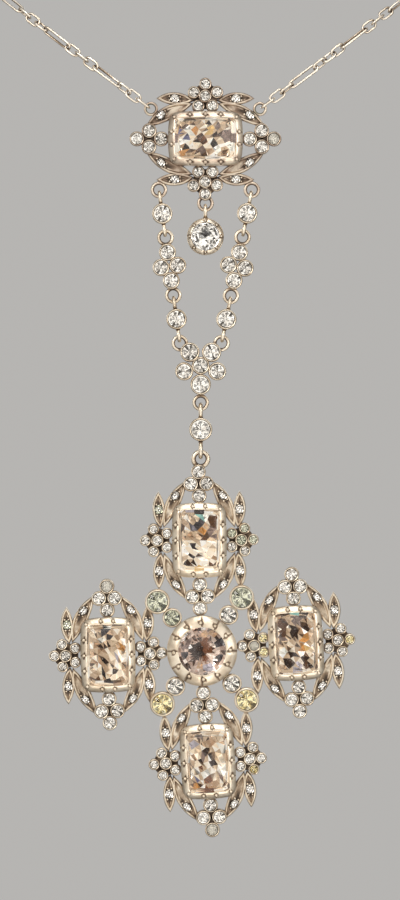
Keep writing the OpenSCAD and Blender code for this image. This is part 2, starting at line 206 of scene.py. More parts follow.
paste = {
    "ior": 1.58, "hazeRough": 0.5, "foilRough": 0.05,
    "wearScale": 1900, "wearEdge": (0.6, 0.8), "wearRough": 0.05,
    # flakes: dark and pale flecks on the foil, painted as small reflections
    "flakeScale": 3100,
    "darkFlake": (0.16, 0.11, 0.08), "darkEdge": (0.66, 0.70), "darkShare": 0.6,
    "paleFlake": (1.0, 0.98, 0.94), "paleEdge": (0.36, 0.32), "paleShare": 0.3,
}


def glassMaterial(name):
    # the cut crown of a stone: clear paste, a little worn, hazy where the haze attribute says so
    shader = Shader(name)
    wear = shader.ease(shader.noise(paste["wearScale"], 3, 0.6), *paste["wearEdge"])
    return shader.finish({
        "Base Color": shader.attribute("facet", "Color"),
        "Roughness": shader.attribute("haze") * paste["hazeRough"] + wear * paste["wearRough"],
        "IOR": paste["ior"],
        "Transmission Weight": 1.0,
    })


def foilMaterial(name):
    # bright foil behind the pavilion; its colour comes from the facet attribute, which holds painted
    # reflections, and the dark and pale flakes are painted small reflections too
    shader = Shader(name)
    flake = shader.noise(paste["flakeScale"], 2, 0.6)
    dark, pale = shader.ease(flake, *paste["darkEdge"]), shader.ease(flake, *paste["paleEdge"])
    colour = shader.attribute("facet", "Color")
    colour = shader.mix(dark * paste["darkShare"], colour, paste["darkFlake"], "MULTIPLY")
    colour = shader.mix(pale * paste["paleShare"], colour, paste["paleFlake"])
    return shader.finish({
        "Base Color": colour,
        "Metallic": 1.0,
        "Roughness": shader.attribute("haze") * paste["hazeRough"] + paste["foilRough"],
    })


print("materials ready")


# Building blocks

def edgesOf(geometry):
    return [g for g in geometry if isinstance(g, bmesh.types.BMEdge)]


def edgesAt(verts):
    return list(dict.fromkeys(edge for vert in verts for edge in vert.link_edges))


def drawOut(bm, edges):
    return edgesOf(bmesh.ops.extrude_edge_only(bm, edges=edges)["geom"])


def loft(bm, sections, closeHigh=True):
    # sections: (outline points, height), from the back to the front; each ring is drawn out of the one before
    points, z = sections[0]
    verts = [bm.verts.new((x, y, z)) for x, y in points]
    lowEdges = edges = [bm.edges.new((a, b)) for a, b in zip(verts, verts[1:] + verts[:1])]
    rings = [verts]
    for points, z in sections[1:]:
        edges = drawOut(bm, edges)
        fresh = {vert for edge in edges for vert in edge.verts}
        verts = [next(e.other_vert(v) for e in v.link_edges if e.other_vert(v) in fresh) for v in verts]
        for vert, (x, y) in zip(verts, points):
            vert.co = (x, y, z)
        rings.append(verts)
    bmesh.ops.contextual_create(bm, geom=lowEdges)
    if closeHigh:
        bmesh.ops.contextual_create(bm, geom=edges)
    return rings


def spinRound(bm, geometry, steps):
    bmesh.ops.spin(
        bm, geom=geometry, cent=(0, 0, 0), axis=(0, 0, 1), angle=math.tau, steps=steps, use_merge=True,
    )


def lathe(bm, profile, steps):
    # profile: (radius, height) pairs
    verts = [bm.verts.new((r, 0, z)) for r, z in profile]
    edges = [bm.edges.new(pair) for pair in zip(verts, verts[1:])]
    spinRound(bm, verts + edges, steps)
    bmesh.ops.remove_doubles(bm, verts=bm.verts, dist=0.0005)


def newForm():
    bm = bmesh.new()
    bm.faces.layers.float.new("haze")
    bm.faces.layers.float_vector.new("facet")
    bm.verts.layers.float.new("recess")
    return bm


def keepForm(bm, name, recalc=True):
    if recalc:
        bmesh.ops.recalc_face_normals(bm, faces=bm.faces)
    mesh = bpy.data.meshes.new(name)
    bm.to_mesh(mesh)
    bm.free()
    return mesh


def stamp(bm, form, place):
    firstVert, firstFace = len(bm.verts), len(bm.faces)
    bm.from_mesh(form)
    bm.verts.ensure_lookup_table()
    bm.faces.ensure_lookup_table()
    bmesh.ops.transform(bm, matrix=place, verts=bm.verts[firstVert:])
    if place.determinant() < 0:
        bmesh.ops.reverse_faces(bm, faces=bm.faces[firstFace:])


def circlePoints(radius, count, turn=0.0):
    angles = [turn + math.tau * k / count for k in range(count)]
    return [(radius * math.cos(a), radius * math.sin(a)) for a in angles]


def ball(bm, place, radius):
    bmesh.ops.create_icosphere(bm, subdivisions=2, radius=radius, matrix=Matrix.Translation(place))


# rays that paint shade and tarnish into recesses: how far they reach, how many, and how far above the surface
# they start
occlusionRays = {"reach": 0.75, "rays": 18, "lift": 0.02}


def sphereRays(count):
    # spread evenly along a spiral
    rays = []
    for step in range(count):
        height = 1 - (2 * step + 1) / count
        around = step * math.pi * (3 - math.sqrt(5))
        flat = math.sqrt(1 - height * height)
        rays.append(Vector((flat * math.cos(around), flat * math.sin(around), height)))
    return rays


def shadeAndTarnishRecesses(bm):
    # painted shade and tarnish: the less of the sky a point sees, the higher its recess value, so hollows and
    # gaps between parts are painted as in shade as well as tarnished
    bm.normal_update()
    walls, rays = BVHTree.FromBMesh(bm), sphereRays(occlusionRays["rays"])
    layer = bm.verts.layers.float["recess"]
    for vert in bm.verts:
        start = vert.co + vert.normal * occlusionRays["lift"]
        ways = [ray if ray.dot(vert.normal) > 0 else -ray for ray in rays]
        shut = sum(walls.ray_cast(start, way, occlusionRays["reach"])[0] is not None for way in ways)
        vert[layer] = min(1.0, vert[layer] + shut / len(rays))


def makePiece(bm, name, materials, place, body, slot, nodes, shadedAndTarnished=True, sharp=38):
    # recesses are painted with shade and tarnish
    if shadedAndTarnished:
        shadeAndTarnishRecesses(bm)
    mesh = keepForm(bm, name, recalc=False)
    mesh.transform(place)
    for material in materials:
        mesh.materials.append(material)
    for polygon in mesh.polygons:
        polygon.use_smooth = materials[polygon.material_index] not in (glass, foil)
    mesh.set_sharp_from_angle(angle=math.radians(sharp))
    piece = bpy.data.objects.new(name, mesh)
    bpy.context.scene.collection.objects.link(piece)
    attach(piece, body)
    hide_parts(*nodes)


# Stones

glassKinds = {
    # clear paste, then the foil: bright, middle and dark; the three foil tones paint the reflections the
    # facets show
    "white": [(1.0, 0.995, 0.98), (0.96, 0.93, 0.89), (0.52, 0.495, 0.46), (0.07, 0.06, 0.05)],
    "milky": [(0.99, 0.98, 0.95), (0.92, 0.90, 0.85), (0.80, 0.78, 0.72), (0.55, 0.52, 0.46)],
    "citrine": [(0.99, 0.97, 0.86), (0.95, 0.87, 0.64), (0.62, 0.52, 0.31), (0.15, 0.11, 0.05)],
    "green": [(0.97, 0.97, 0.91), (0.76, 0.765, 0.67), (0.43, 0.43, 0.36), (0.08, 0.08, 0.06)],
    "champagne": [(1.0, 0.98, 0.95), (1.0, 0.84, 0.63), (0.44, 0.285, 0.175), (0.075, 0.04, 0.025)],
    "rose": [(1.0, 0.98, 0.96), (0.96, 0.82, 0.72), (0.38, 0.25, 0.19), (0.06, 0.03, 0.02)],
}


painting = {
    # faces that look up this much are clear crown, the others are foil
    "crown": 0.1,
    # in a blurred stone neighbours are alike: scale of the clouds, their weight, and the stray of one facet
    "clouds": (1.5, 0.8), "drift": 50, "weight": 0.8, "stray": 0.45, "hazy": 0.75,
    "middleFrom": 0.4, "darkLift": 0.3, "patchLight": (0.75, 1.15),
}


def paintStone(bm, chance, kind, upper, lower=None, patches=(), blur=0.0):
    # upper and lower half: shares of bright and middle foil, the rest is dark; these shares paint the
    # reflections of the facets
    # patches: x, y, reach and colour of painted reflections that stand out
    clear, bright, middle, dark = [Vector(c) for c in glassKinds[kind]]
    colours, haze = bm.faces.layers.float_vector["facet"], bm.faces.layers.float["haze"]
    drift = chance.uniform(0, painting["drift"])
    bm.normal_update()
    # in the order of their places, since the hull gives them in no fixed order
    for face in sorted(bm.faces, key=lambda face: [round(c, 4) for c in face.calc_center_median()]):
        face[haze] = 1.0 if kind == "milky" else 0.0
        if face.normal.z > painting["crown"]:
            face.material_index, face[colours] = 1, clear
            continue
        spot = face.calc_center_median()
        brightShare, middleShare = (lower or upper) if spot.y < 0 else upper
        roll = chance.random()
        if blur:
            scaleX, scaleY = painting["clouds"]
            cloud = noise.noise((spot.x * scaleX + drift, spot.y * scaleY, drift))
            roll = 0.5 + painting["weight"] * cloud + (roll - 0.5) * painting["stray"]
        # a facet that isn't hazy flashes
        face.material_index, face[haze] = 2, max(face[haze], blur * (chance.random() < painting["hazy"]))
        # the foil colour paints what the facet reflects: bright, middle or dark
        if roll < brightShare:
            face[colours] = clear.lerp(bright, max(0.0, roll / brightShare))
        elif roll < brightShare + middleShare:
            start = painting["middleFrom"]
            face[colours] = bright.lerp(middle, start + (1 - start) * (roll - brightShare) / middleShare)
        else:
            face[colours] = dark.lerp(middle, chance.uniform(0, painting["darkLift"]))
        for x, y, reach, colour in patches:
            if math.hypot(spot.x - x, spot.y - y) < reach:
                face[colours] = Vector(colour) * chance.uniform(*painting["patchLight"])


def hullStone(rings):
    # rings: (points, height)
    bm = newForm()
    for points, z in rings:
        for x, y in points:
            bm.verts.new((x, y, z))
    bmesh.ops.convex_hull(bm, input=bm.verts)
    bmesh.ops.dissolve_limit(bm, angle_limit=0.02, verts=bm.verts, edges=bm.edges)
    bmesh.ops.recalc_face_normals(bm, faces=bm.faces)
    return bm


roundCut = {
    "mains": 8, "table": 0.55, "kite": 0.79, "crown": 0.60,
    "band": 0.08, "pavilion": 0.84, "lower": 0.36, "culet": 0.07,
}


def crownRings(radius, girdle, top):
    # corners of the table, of the kites and of the girdle
    mains, half = roundCut["mains"], math.pi / roundCut["mains"]
    return [
        (circlePoints(roundCut["table"] * radius, mains), top),
        (circlePoints(roundCut["kite"] * radius, mains, half), girdle + (top - girdle) * roundCut["crown"]),
        (circlePoints(radius, 2 * mains), girdle),
    ]


def roundStone(radius, girdle, top, kind, seed, shares=(0.72, 0.19), pavilion=roundCut["pavilion"]):
    # brilliant: the crown above, mains and lower facets on the foil below
    mains, half = roundCut["mains"], math.pi / roundCut["mains"]
    low, depth = girdle - roundCut["band"], pavilion * radius
    lowerHeight = low - depth * (1 - roundCut["lower"] * math.cos(half))
    bm = hullStone(crownRings(radius, girdle, top) + [
        (circlePoints(radius, 2 * mains), low),
        (circlePoints(roundCut["lower"] * radius, mains, half), lowerHeight),
        (circlePoints(roundCut["culet"] * radius, mains), low - depth),
    ])
    paintStone(bm, random.Random(seed), kind, shares)
    return keepForm(bm, f"roundStone{kind}{seed}", recalc=False)


def cushionOutline(size, inset):
    # rounded oblong with slightly bulging sides; the same points for every inset, so that rings join up
    corner = max(size["corner"] - inset, 0.4)
    x, y = size["width"] / 2 - inset - corner, size["length"] / 2 - inset - corner
    swell = size["bulge"] * max(0.0, 1 - inset / 3)

    def onCorner(quarter, a):
        cx, cy = ((1, 1), (-1, 1), (-1, -1), (1, -1))[quarter % 4]
        return Vector((cx * x + (corner - swell) * math.cos(a), cy * y + (corner - swell) * math.sin(a)))

    points = []
    for quarter in range(4):
        for angle in size["cornerSteps"]:
            points.append(onCorner(quarter, rightAngle * quarter + math.radians(angle)))
        # along the side that follows this corner
        a = rightAngle * (quarter + 1)
        start, end, out = points[-1], onCorner(quarter + 1, a), Vector((math.cos(a), math.sin(a)))
        for share in size["sideSteps"][quarter % 2]:
            points.append(start.lerp(end, share) + out * swell * (1 - (2 * share - 1) ** 2))
    return points


def sideShares(cuts, width=0.022):
    shares = {0.06, 0.94}
    for cut in cuts:
        shares |= {round(cut - width, 4), cut, round(cut + width, 4)}
    for k in range(1, 10):
        if all(abs(k / 10 - cut) > 0.06 for cut in cuts):
            shares.add(k / 10)
    return sorted(shares)


cushionCuts = ((0.3, 0.7), (0.2, 0.5, 0.8))  # along a short and along a long side
cushion = {
    "width": 9.86, "length": 13.46, "corner": 2.1, "bulge": 0.16, "height": 3.7,
    "cornerSteps": (0, 14, 28, 41, 45, 49, 62, 76, 90),
    "sideSteps": [sideShares(cuts) for cuts in cushionCuts],
    "rim": 1.2, "rimDrop": 0.68, "cutDepth": 0.09, "grain": 0.34, "grainInset": 0.58, "grainSink": 0.17,
    # the stone: its table and kites, how far it goes under the rim, its girdle and back below the rim's top
    "tableInset": 2.2, "tableUp": 0.14, "kiteOut": 0.1, "kiteUp": 0.62,
    "under": 0.3, "sink": 0.22, "backSink": 0.5,
}
# painted shade in the cuts of a rim
grooveShade = 0.45


def cutGrooves(bm, rings, indexes, depth):
    # a cut runs from each grain to the outer edge, and is painted darker as shade
    recess = bm.verts.layers.float["recess"]
    for ring in rings[3:-2]:
        for index in indexes:
            ring[index].co.z -= depth
            ring[index][recess] = grooveShade


def grooveIndexes():
    # the points of the outline that are in a cut: the middle of each corner, and the cuts along each side
    inCut = []
    for quarter in range(4):
        inCut += [angle == 45 for angle in cushion["cornerSteps"]]
        inCut += [share in cushionCuts[quarter % 2] for share in cushion["sideSteps"][quarter % 2]]
    return [index for index, found in enumerate(inCut) if found]


def cushionSetting():
    bm = newForm()
    top, rim, drop = cushion["height"], cushion["rim"], cushion["rimDrop"]
    sections = [
        (0.10, 0.0), (0.0, 0.25), (0.0, top - drop - 0.08), (0.07, top - drop), (0.35, top - drop * 0.66),
        (0.75, top - drop * 0.26), (rim - 0.22, top - 0.04), (rim - 0.10, top), (rim, top - 0.05),
        (rim + 0.05, top - 0.45),
    ]
    rings = loft(bm, [(cushionOutline(cushion, inset), z) for inset, z in sections], closeHigh=False)
    grooves = grooveIndexes()
    cutGrooves(bm, rings, grooves, cushion["cutDepth"])
    grainLine = cushionOutline(cushion, rim - cushion["grainInset"])
    for index in grooves:
        ball(bm, (*grainLine[index], top - cushion["grainSink"]), cushion["grain"])
    return keepForm(bm, "cushionSetting")


def jitter(chance):
    return Vector((chance.uniform(-1, 1), chance.uniform(-1, 1), 0))


mosaicGrid = {"spread": 1.3, "stray": 0.36}


def mosaic(ring, back, chance, heightAt):
    # small uneven facets that fill a ring of points
    bm = newForm()
    spacing = back["spacing"]
    reach = max(point.to_2d().length for point in ring)
    count = round(2 * reach / spacing)
    bmesh.ops.create_grid(bm, x_segments=count, y_segments=round(count * back["stretch"]), size=reach)
    turn = Matrix.Rotation(chance.uniform(0, 1), 4, "Z")
    for vert in bm.verts:
        stray = jitter(chance) * spacing * mosaicGrid["stray"]
        vert.co = turn @ (vert.co * mosaicGrid["spread"] + stray)
    for a, b in zip(ring, ring[1:] + ring[:1]):
        side = b - a
        geometry = bm.verts[:] + bm.edges[:] + bm.faces[:]
        bmesh.ops.bisect_plane(bm, geom=geometry, plane_co=a, plane_no=(side.y, -side.x, 0), clear_outer=True)
    for vert in bm.verts:
        vert.co.z = heightAt(vert.co) + chance.uniform(-1, 1) * spacing * back["rough"]
    bmesh.ops.triangulate(bm, faces=bm.faces)
    bmesh.ops.reverse_faces(bm, faces=bm.faces)
    return keepForm(bm, "mosaic", recalc=False)


def angleOf(vert):
    return math.atan2(vert.co.y, vert.co.x)


def addBack(bm, chance, halfX, halfY, low, back):
    # below the girdle: narrow rings of long facets along the edge, then a mosaic or a flat cap
    def heightAt(spot):
        return low - back["depth"] * (1 - min(1.0, (spot.x / halfX) ** 2 + (spot.y / halfY) ** 2)) ** 2

    bottom = min(bm.faces, key=lambda face: face.calc_center_median().z)
    edges = list(bottom.edges)
    bmesh.ops.delete(bm, geom=[bottom], context="FACES_ONLY")
    size = 1.0
    for share in (1.0,) + back["rings"]:
        edges = drawOut(bm, edges)
        inside = share < 1.0
        if back["halves"] and not inside:
            edges = edgesOf(bmesh.ops.subdivide_edges(bm, edges=edges, cuts=back["halves"])["geom_split"])
        ring = sorted({vert for edge in edges for vert in edge.verts}, key=angleOf)
        bmesh.ops.scale(bm, vec=(share / size, share / size, 1), verts=ring)
        for vert in ring:
            if inside:
                vert.co += jitter(chance) * back["stray"]
            vert.co.z = heightAt(vert.co) + chance.uniform(-1, 1) * back["sink"] * inside
        size = share
    inner = [vert.co.copy() for vert in sorted(ring, key=angleOf)]
    if not back["spacing"]:
        bmesh.ops.contextual_create(bm, geom=edges)
    bmesh.ops.triangulate(bm, faces=[face for face in bm.faces if face.calc_center_median().z < low - 0.001])
    bmesh.ops.recalc_face_normals(bm, faces=bm.faces)
    if back["spacing"]:
        part = mosaic(inner, back, chance, heightAt)
        stamp(bm, part, Matrix.Identity(4))
        bpy.data.meshes.remove(part)


stoneBacks = {
    # rings as shares of the outline, new corners in each edge, depth and unevenness
    # then spacing, stretch and roughness of the mosaic, or no spacing for a flat cap
    "cushion": {
        "rings": (0.95, 0.90, 0.85, 0.80), "halves": 0, "depth": 0.12, "stray": 0.05, "sink": 0.03,
        "spacing": 0.52, "stretch": 0.62, "rough": 0.13,
    },
    "centre": {
        "rings": (0.86, 0.72, 0.56, 0.40, 0.2, 0.05), "halves": 1, "depth": 0.3, "stray": 0.05, "sink": 0.04,
        "spacing": 0,
    },
    "drop": {
        "rings": (0.92, 0.84), "halves": 1, "depth": 0.06, "stray": 0.04, "sink": 0.02,
        "spacing": 0.36, "stretch": 0.9, "rough": 0.14,
    },
}
largeBand = 0.2
cushionCrown = {
    # corner angles and side shares of the table, the kites and the girdle
    "table": ((12, 78), ((0.5,), (0.5,))),
    "kites": ((45,), ((0.5,), (0.27, 0.73))),
    "girdle": ((0, 45, 90), ((0.33, 0.67), (0.25, 0.5, 0.75))),
}


def cutOutline(part, inset):
    corners, sides = cushionCrown[part]
    return cushionOutline(dict(cushion, cornerSteps=corners, sideSteps=sides), inset)


def cushionStone(name, seed, upper, lower, patches):
    chance = random.Random(seed)
    top, rim, inset, under = [cushion[key] for key in ("height", "rim", "tableInset", "under")]
    girdle, table = top - cushion["sink"], top + cushion["tableUp"]
    kiteHeight = girdle + (table - girdle) * cushion["kiteUp"]
    bm = hullStone([
        (cutOutline("table", inset), table),
        (cutOutline("kites", (rim + inset) / 2 - cushion["kiteOut"]), kiteHeight),
        (cutOutline("girdle", rim - under), girdle),
    ])
    halfX, halfY = [cushion[key] / 2 + (under - rim) for key in ("width", "length")]
    addBack(bm, chance, halfX, halfY, top - cushion["backSink"], stoneBacks["cushion"])
    paintStone(bm, chance, "champagne", upper, lower, patches, 0.7)
    return keepForm(bm, name, recalc=False)


def largeRoundStone(name, setting, look):
    # fit: how far the stone goes under the rim, its girdle below the rim's top and its table above it
    chance = random.Random(look["seed"])
    (d, h, rim), (under, sink, rise) = setting, look["fit"]
    radius, girdle = d / 2 - rim + under, h - sink
    bm = hullStone(crownRings(radius, girdle, h + rise))
    addBack(bm, chance, radius, radius, girdle - largeBand, stoneBacks[name])
    paintStone(bm, chance, look["kind"], look["upper"], look["lower"], look["patches"], look["blur"])
    return keepForm(bm, name, recalc=False)


# Settings, leaves, rings

@cache
def roundSetting(d, h, rim):
    # closed cup with a rounded rim
    r, seat = d / 2, d / 2 - rim
    bm = newForm()
    lathe(bm, [
        (0, 0), (0.9 * r, 0), (0.97 * r, 0.12), (r, 0.4), (r, h - 0.22), (r - 0.28 * rim, h - 0.06),
        (r - 0.55 * rim, h), (seat + 0.14 * rim, h - 0.03), (seat, h - 0.12), (seat - 0.02, h - 0.9),
    ], 28)
    return keepForm(bm, f"roundSetting{d}")


def cutSetting(d, h, rim, bevel, cuts, grain):
    # closed cup with a wide sloping rim, which is cut through at each grain
    r, seat = d / 2, d / 2 - rim
    angles = []
    for k in range(cuts):
        middle = math.tau * k / cuts
        angles += [middle - 0.03, middle, middle + 0.03]
        angles += [middle + math.tau / cuts * share for share in (0.25, 0.42, 0.58, 0.75)]
    levels = [
        (r - 0.1, 0), (r, 0.25), (r, h - bevel - 0.08), (r - rim * 0.03, h - bevel),
        (r - rim * 0.3, h - bevel * 0.62), (r - rim * 0.62, h - bevel * 0.24),
        (seat + rim * 0.16, h - 0.03), (seat + rim * 0.07, h), (seat, h - 0.06), (seat - 0.04, h - 0.5),
    ]
    bm = newForm()
    outlines = [[(radius * math.cos(a), radius * math.sin(a)) for a in angles] for radius, z in levels]
    rings = loft(bm, [(outline, z) for outline, (radius, z) in zip(outlines, levels)], closeHigh=False)
    cutGrooves(bm, rings, range(0, len(angles), len(angles) // cuts), 0.08)
    for x, y in circlePoints(seat + rim * 0.38, cuts):
        ball(bm, (x, y, h - bevel * 0.14), grain)
    return keepForm(bm, f"cutSetting{d}")


def leafOutline(row, inset, steps=13):
    (ax, ay), (bx, by), left, right = row[:4]
    length = math.hypot(bx - ax, by - ay)
    radiusL, radiusR = ((length ** 2 / 4 + bulge ** 2) / (2 * bulge) for bulge in (left, right))
    yL, yR = left - radiusL, radiusR - right
    rL, rR = radiusL - inset, radiusR - inset
    y = (rL ** 2 - rR ** 2 + yR ** 2 - yL ** 2) / (2 * (yR - yL))
    halfSpan = math.sqrt(max(rL ** 2 - (y - yL) ** 2, 1e-4))
    startL = math.atan2(y - yL, halfSpan)
    startR = math.atan2(y - yR, -halfSpan)
    sweepR = math.atan2(y - yR, halfSpan) - startR
    points = []
    for k in range(steps):
        a = startL + (math.pi - 2 * startL) * k / steps
        points.append((rL * math.cos(a), yL + rL * math.sin(a)))
    for k in range(steps):
        a = startR + sweepR * k / steps
        points.append((rR * math.cos(a), yR + rR * math.sin(a)))
    place = at(ax, ay, 0, math.atan2(by - ay, bx - ax))
    return [(place @ Vector((x + length / 2, y, 0))).to_2d() for x, y in points]


leaves = {
    # two tips, bulge to the left and to the right of the line between them, place of the stone
    "rows": [
        ((6.9, 2.1), (7.3, 8.8), 0.95, 1.3, (7.25, 5.5)),
        ((2.15, 10.75), (6.4, 2.25), 1.7, 0.8, (4.3, 8.0)),
    ],
    "height": 1.5, "dip": 0.26, "stone": 0.8,
    "grain": 0.23, "grainAlong": 0.95, "grainAcross": 0.36,
    # the cut that runs out from between the grains: start, length, half width and painted shade
    "cutFrom": 1.1, "cutLength": 0.8, "cutHalf": 0.2, "cutShade": 0.8,
}


def leafForm(index):
    row = leaves["rows"][index]
    top, dip = leaves["height"], leaves["dip"]
    bm = newForm()
    sections = [
        (0.05, 0.0), (0.0, 0.12), (0.0, top - 0.22), (0.07, top - 0.06), (0.18, top + 0.02),
        (0.36, top + 0.01), (0.44, top - 0.06), (0.52, top - dip), (0.62, top - dip - 0.04),
        (0.74, top - dip - 0.04),
    ]
    loft(bm, [(leafOutline(row, inset), z) for inset, z in sections])
    bmesh.ops.recalc_face_normals(bm, faces=bm.faces)
    direction = Vector((row[1][0] - row[0][0], row[1][1] - row[0][1], 0)).normalized()
    side = Vector((-direction.y, direction.x, 0))
    seat = Vector((*row[4], top - dip))
    for along in (-1, 1):
        for across in (-1, 1):
            place = seat + direction * along * leaves["grainAlong"] + side * across * leaves["grainAcross"]
            ball(bm, place, leaves["grain"])
        foot = seat + direction * along * leaves["cutFrom"]
        tip, edge = foot + direction * along * leaves["cutLength"], side * leaves["cutHalf"]
        # each cut is a flat triangle painted dark, standing for the shade in a V cut
        corners = [bm.verts.new(p) for p in (tip, foot + edge, foot - edge)]
        for corner in corners:
            corner[bm.verts.layers.float["recess"]] = leaves["cutShade"]
        cut = bm.faces.new(corners)
        cut.normal_update()
        if cut.normal.z < 0:
            cut.normal_flip()
    return keepForm(bm, f"leafForm{index}", recalc=False)


# how dark the painted shade inside a ring gets
ringInnerShade = 0.6


def torus(bm, place, d, wire, around=28, section=10):
    firstVert, firstFace = len(bm.verts), len(bm.faces)
    circle = bmesh.ops.create_circle(bm, segments=section, radius=wire / 2)["verts"]
    turn = Matrix.Translation(((d - wire) / 2, 0, 0)) @ Matrix.Rotation(rightAngle, 4, "X")
    bmesh.ops.transform(bm, matrix=turn, verts=circle)
    spinRound(bm, circle + edgesAt(circle), around)
    bm.verts.ensure_lookup_table()
    bm.faces.ensure_lookup_table()
    verts = bm.verts[firstVert:]
    # painted shade on the inside of a ring
    recess = bm.verts.layers.float["recess"]
    for vert in verts:
        vert[recess] = min(ringInnerShade, max(0.0, (d - wire - 2 * vert.co.to_2d().length) / wire))
    bmesh.ops.recalc_face_normals(bm, faces=bm.faces[firstFace:])
    bmesh.ops.transform(bm, matrix=place, verts=verts)


ringHeight = 1.1
edgeOn = Matrix.Rotation(rightAngle, 4, "Y")


def flatRing(bm, x, y, d, wire):
    torus(bm, Matrix.Translation((x, y, ringHeight)), d, wire)


def edgeRing(bm, x, y, d, wire):
    torus(bm, Matrix.Translation((x, y, ringHeight)) @ edgeOn, d, wire)


def solder(bm, x, y, size):
    place = Matrix.Translation((x, y, ringHeight)) @ Matrix.Diagonal((1, 1, 0.8, 1))
    bmesh.ops.create_icosphere(bm, subdivisions=2, radius=size, matrix=place)


def solderedRing(bm, ring, joint, side=1):
    # ring: x, y, outer diameter and wire; joint: the way from its middle to its solder, and the solder's size
    x, y, d, wire = ring
    wayX, wayY, size = joint
    flatRing(bm, side * x, y, d, wire)
    solder(bm, side * (x + wayX), y + wayY, size)


print("building blocks ready")


# Cluster: oblong setting with a group of four stones at each end, a flower on each side and eight leaves

cluster = {
    "groupD": 2.68, "groupAcross": 1.42, "groupAlong": 2.16, "groupY": 10.13,
    "height": 2.0, "rim": 0.27, "heartUp": 0.2,
    # small settings are a little out of place and out of true, and their stones are cut in several ways
    "stray": 0.05, "lean": 0.06, "cuts": 6,
    # plates and solder behind the stones: radius and top
    "flowerPlate": (0.1, 1.1), "groupPlate": (1.3, 0.3), "pin": (0.36, 1.6), "pinAt": 0.62,
    # flowers: distance, reach of the petals, diameters of a petal and of the heart
    "armFlower": (7.56, 2.1, 2.05, 2.27),
    "plaqueFlower": (7.7, 2.18, 2.28, 2.36),
}


def clusterSeats(flower):
    # x, y, diameter, extra height
    flowerX, petalReach, petalD, heartD = flower
    seats = []
    for end in (-1, 1):
        for x, y in ((0, -1), (0, 1), (-1, 0), (1, 0)):
            along = end * cluster["groupY"] + y * cluster["groupAlong"]
            seats.append((x * cluster["groupAcross"], along, cluster["groupD"], 0))
    for side in (-1, 1):
        seats.append((side * flowerX, 0, heartD, cluster["heartUp"]))
        for x, y in circlePoints(petalReach, 5):
            seats.append((side * (flowerX + x), y, petalD, 0))
    return seats


# a small stone in its seat: room around it, girdle below the rim, table above it, and more for a wider stone
smallStone = {"room": 0.08, "sink": 0.14, "rise": 0.06, "dome": 0.04}


@cache
def stoneForm(d, h, rim, kind, seed):
    table = h + smallStone["rise"] + smallStone["dome"] * d
    return roundStone(d / 2 - rim - smallStone["room"], h - smallStone["sink"], table, kind, seed)


def setRound(bm, chance, x, y, size, kind):
    # a small setting with its stone
    stray, lean = cluster["stray"], cluster["lean"]
    x, y = x + chance.uniform(-stray, stray), y + chance.uniform(-stray, stray)
    tip = Matrix.Rotation(chance.uniform(-lean, lean), 4, "X")
    tip = tip @ Matrix.Rotation(chance.uniform(-lean, lean), 4, "Y")
    pivot = Matrix.Translation((0, 0, size[1]))
    place = at(x, y, 0, chance.uniform(0, math.tau)) @ pivot @ tip @ pivot.inverted()
    stamp(bm, roundSetting(*size), place)
    stamp(bm, stoneForm(*size, kind, chance.randrange(cluster["cuts"])), place)


def addPlate(bm, x, y, radius, top):
    loft(bm, [(((px + x, py + y) for px, py in circlePoints(radius, 32)), z) for z in (0, top)])


def leafStone(kind, seed):
    girdle = leaves["height"]
    return roundStone(leaves["stone"], girdle, girdle + 0.2, kind, seed, (0.5, 0.42), pavilion=0.3)


leafForms = [leafForm(0), leafForm(1)]
leafStones = {kind: [leafStone(kind, 40 + k) for k in range(4)] for kind in ("white", "green")}
cushionForm = cushionSetting()


def addCluster(bm, place, flower, seed, kinds):
    # kinds: seats whose stones aren't white, by number; the leaves are 20 to 27
    chance = random.Random(seed)
    stamp(bm, cushionForm, place)
    local = newForm()
    seats = clusterSeats(flower)
    for number, (x, y, d, up) in enumerate(seats):
        size = (d, cluster["height"] + up, cluster["rim"])
        setRound(local, chance, x, y, size, kinds.get(number, "white"))
    margin, flowerTop = cluster["flowerPlate"]
    for side in (-1, 1):
        addPlate(local, side * flower[0], 0, flower[1] + margin, flowerTop)
        groupY = side * cluster["groupY"]
        addPlate(local, 0, groupY, *cluster["groupPlate"])
        for end in (-1, 1):
            addPlate(local, 0, groupY + end * cluster["pinAt"], *cluster["pin"])
    for corner, (sx, sy) in enumerate(((1, 1), (1, -1), (-1, 1), (-1, -1))):
        for index, row in enumerate(leaves["rows"]):
            stamp(local, leafForms[index], Matrix.Diagonal((sx, sy, 1, 1)))
            x, y = row[4]
            form = chance.choice(leafStones[kinds.get(len(seats) + 2 * corner + index, "white")])
            stamp(local, form, at(sx * x, sy * y, 0, chance.uniform(0, math.tau)))
    part = keepForm(local, "clusterPart", recalc=False)
    stamp(bm, part, place)
    bpy.data.meshes.remove(part)


silver = silverMaterial("oldSilver", oldSilver)
brownSilver = silverMaterial("plaqueSilver", plaqueSilver, [
    tuple(standUp(plaqueMiddle.x, plaqueMiddle.z) @ Vector(p)) for p in ((-10.2, 5.6, 1.2), (9.3, 4.6, 1.2))
])
wireSilver = silverMaterial("drawnWire", drawnWire)
glass = glassMaterial("clearPaste")
foil = foilMaterial("brightFoil")
frameMaterials = [silver, glass, foil]


# Plaque

plaque = {
    "place": standUp(plaqueMiddle.x, plaqueMiddle.z),
    "chainRing": (9.8, 5.4, 2.6, 0.54), "chainJoint": (-0.75, -0.75, 0.3),
    "stringRing": (8.35, -9.15, 3.06, 0.66), "stringJoint": (0, 1.25, 0.38),
    "dropRing": (0.0, -11.60, 3.06, 0.66),
    "kinds": {0: "milky"},
    "seed": 11,
}


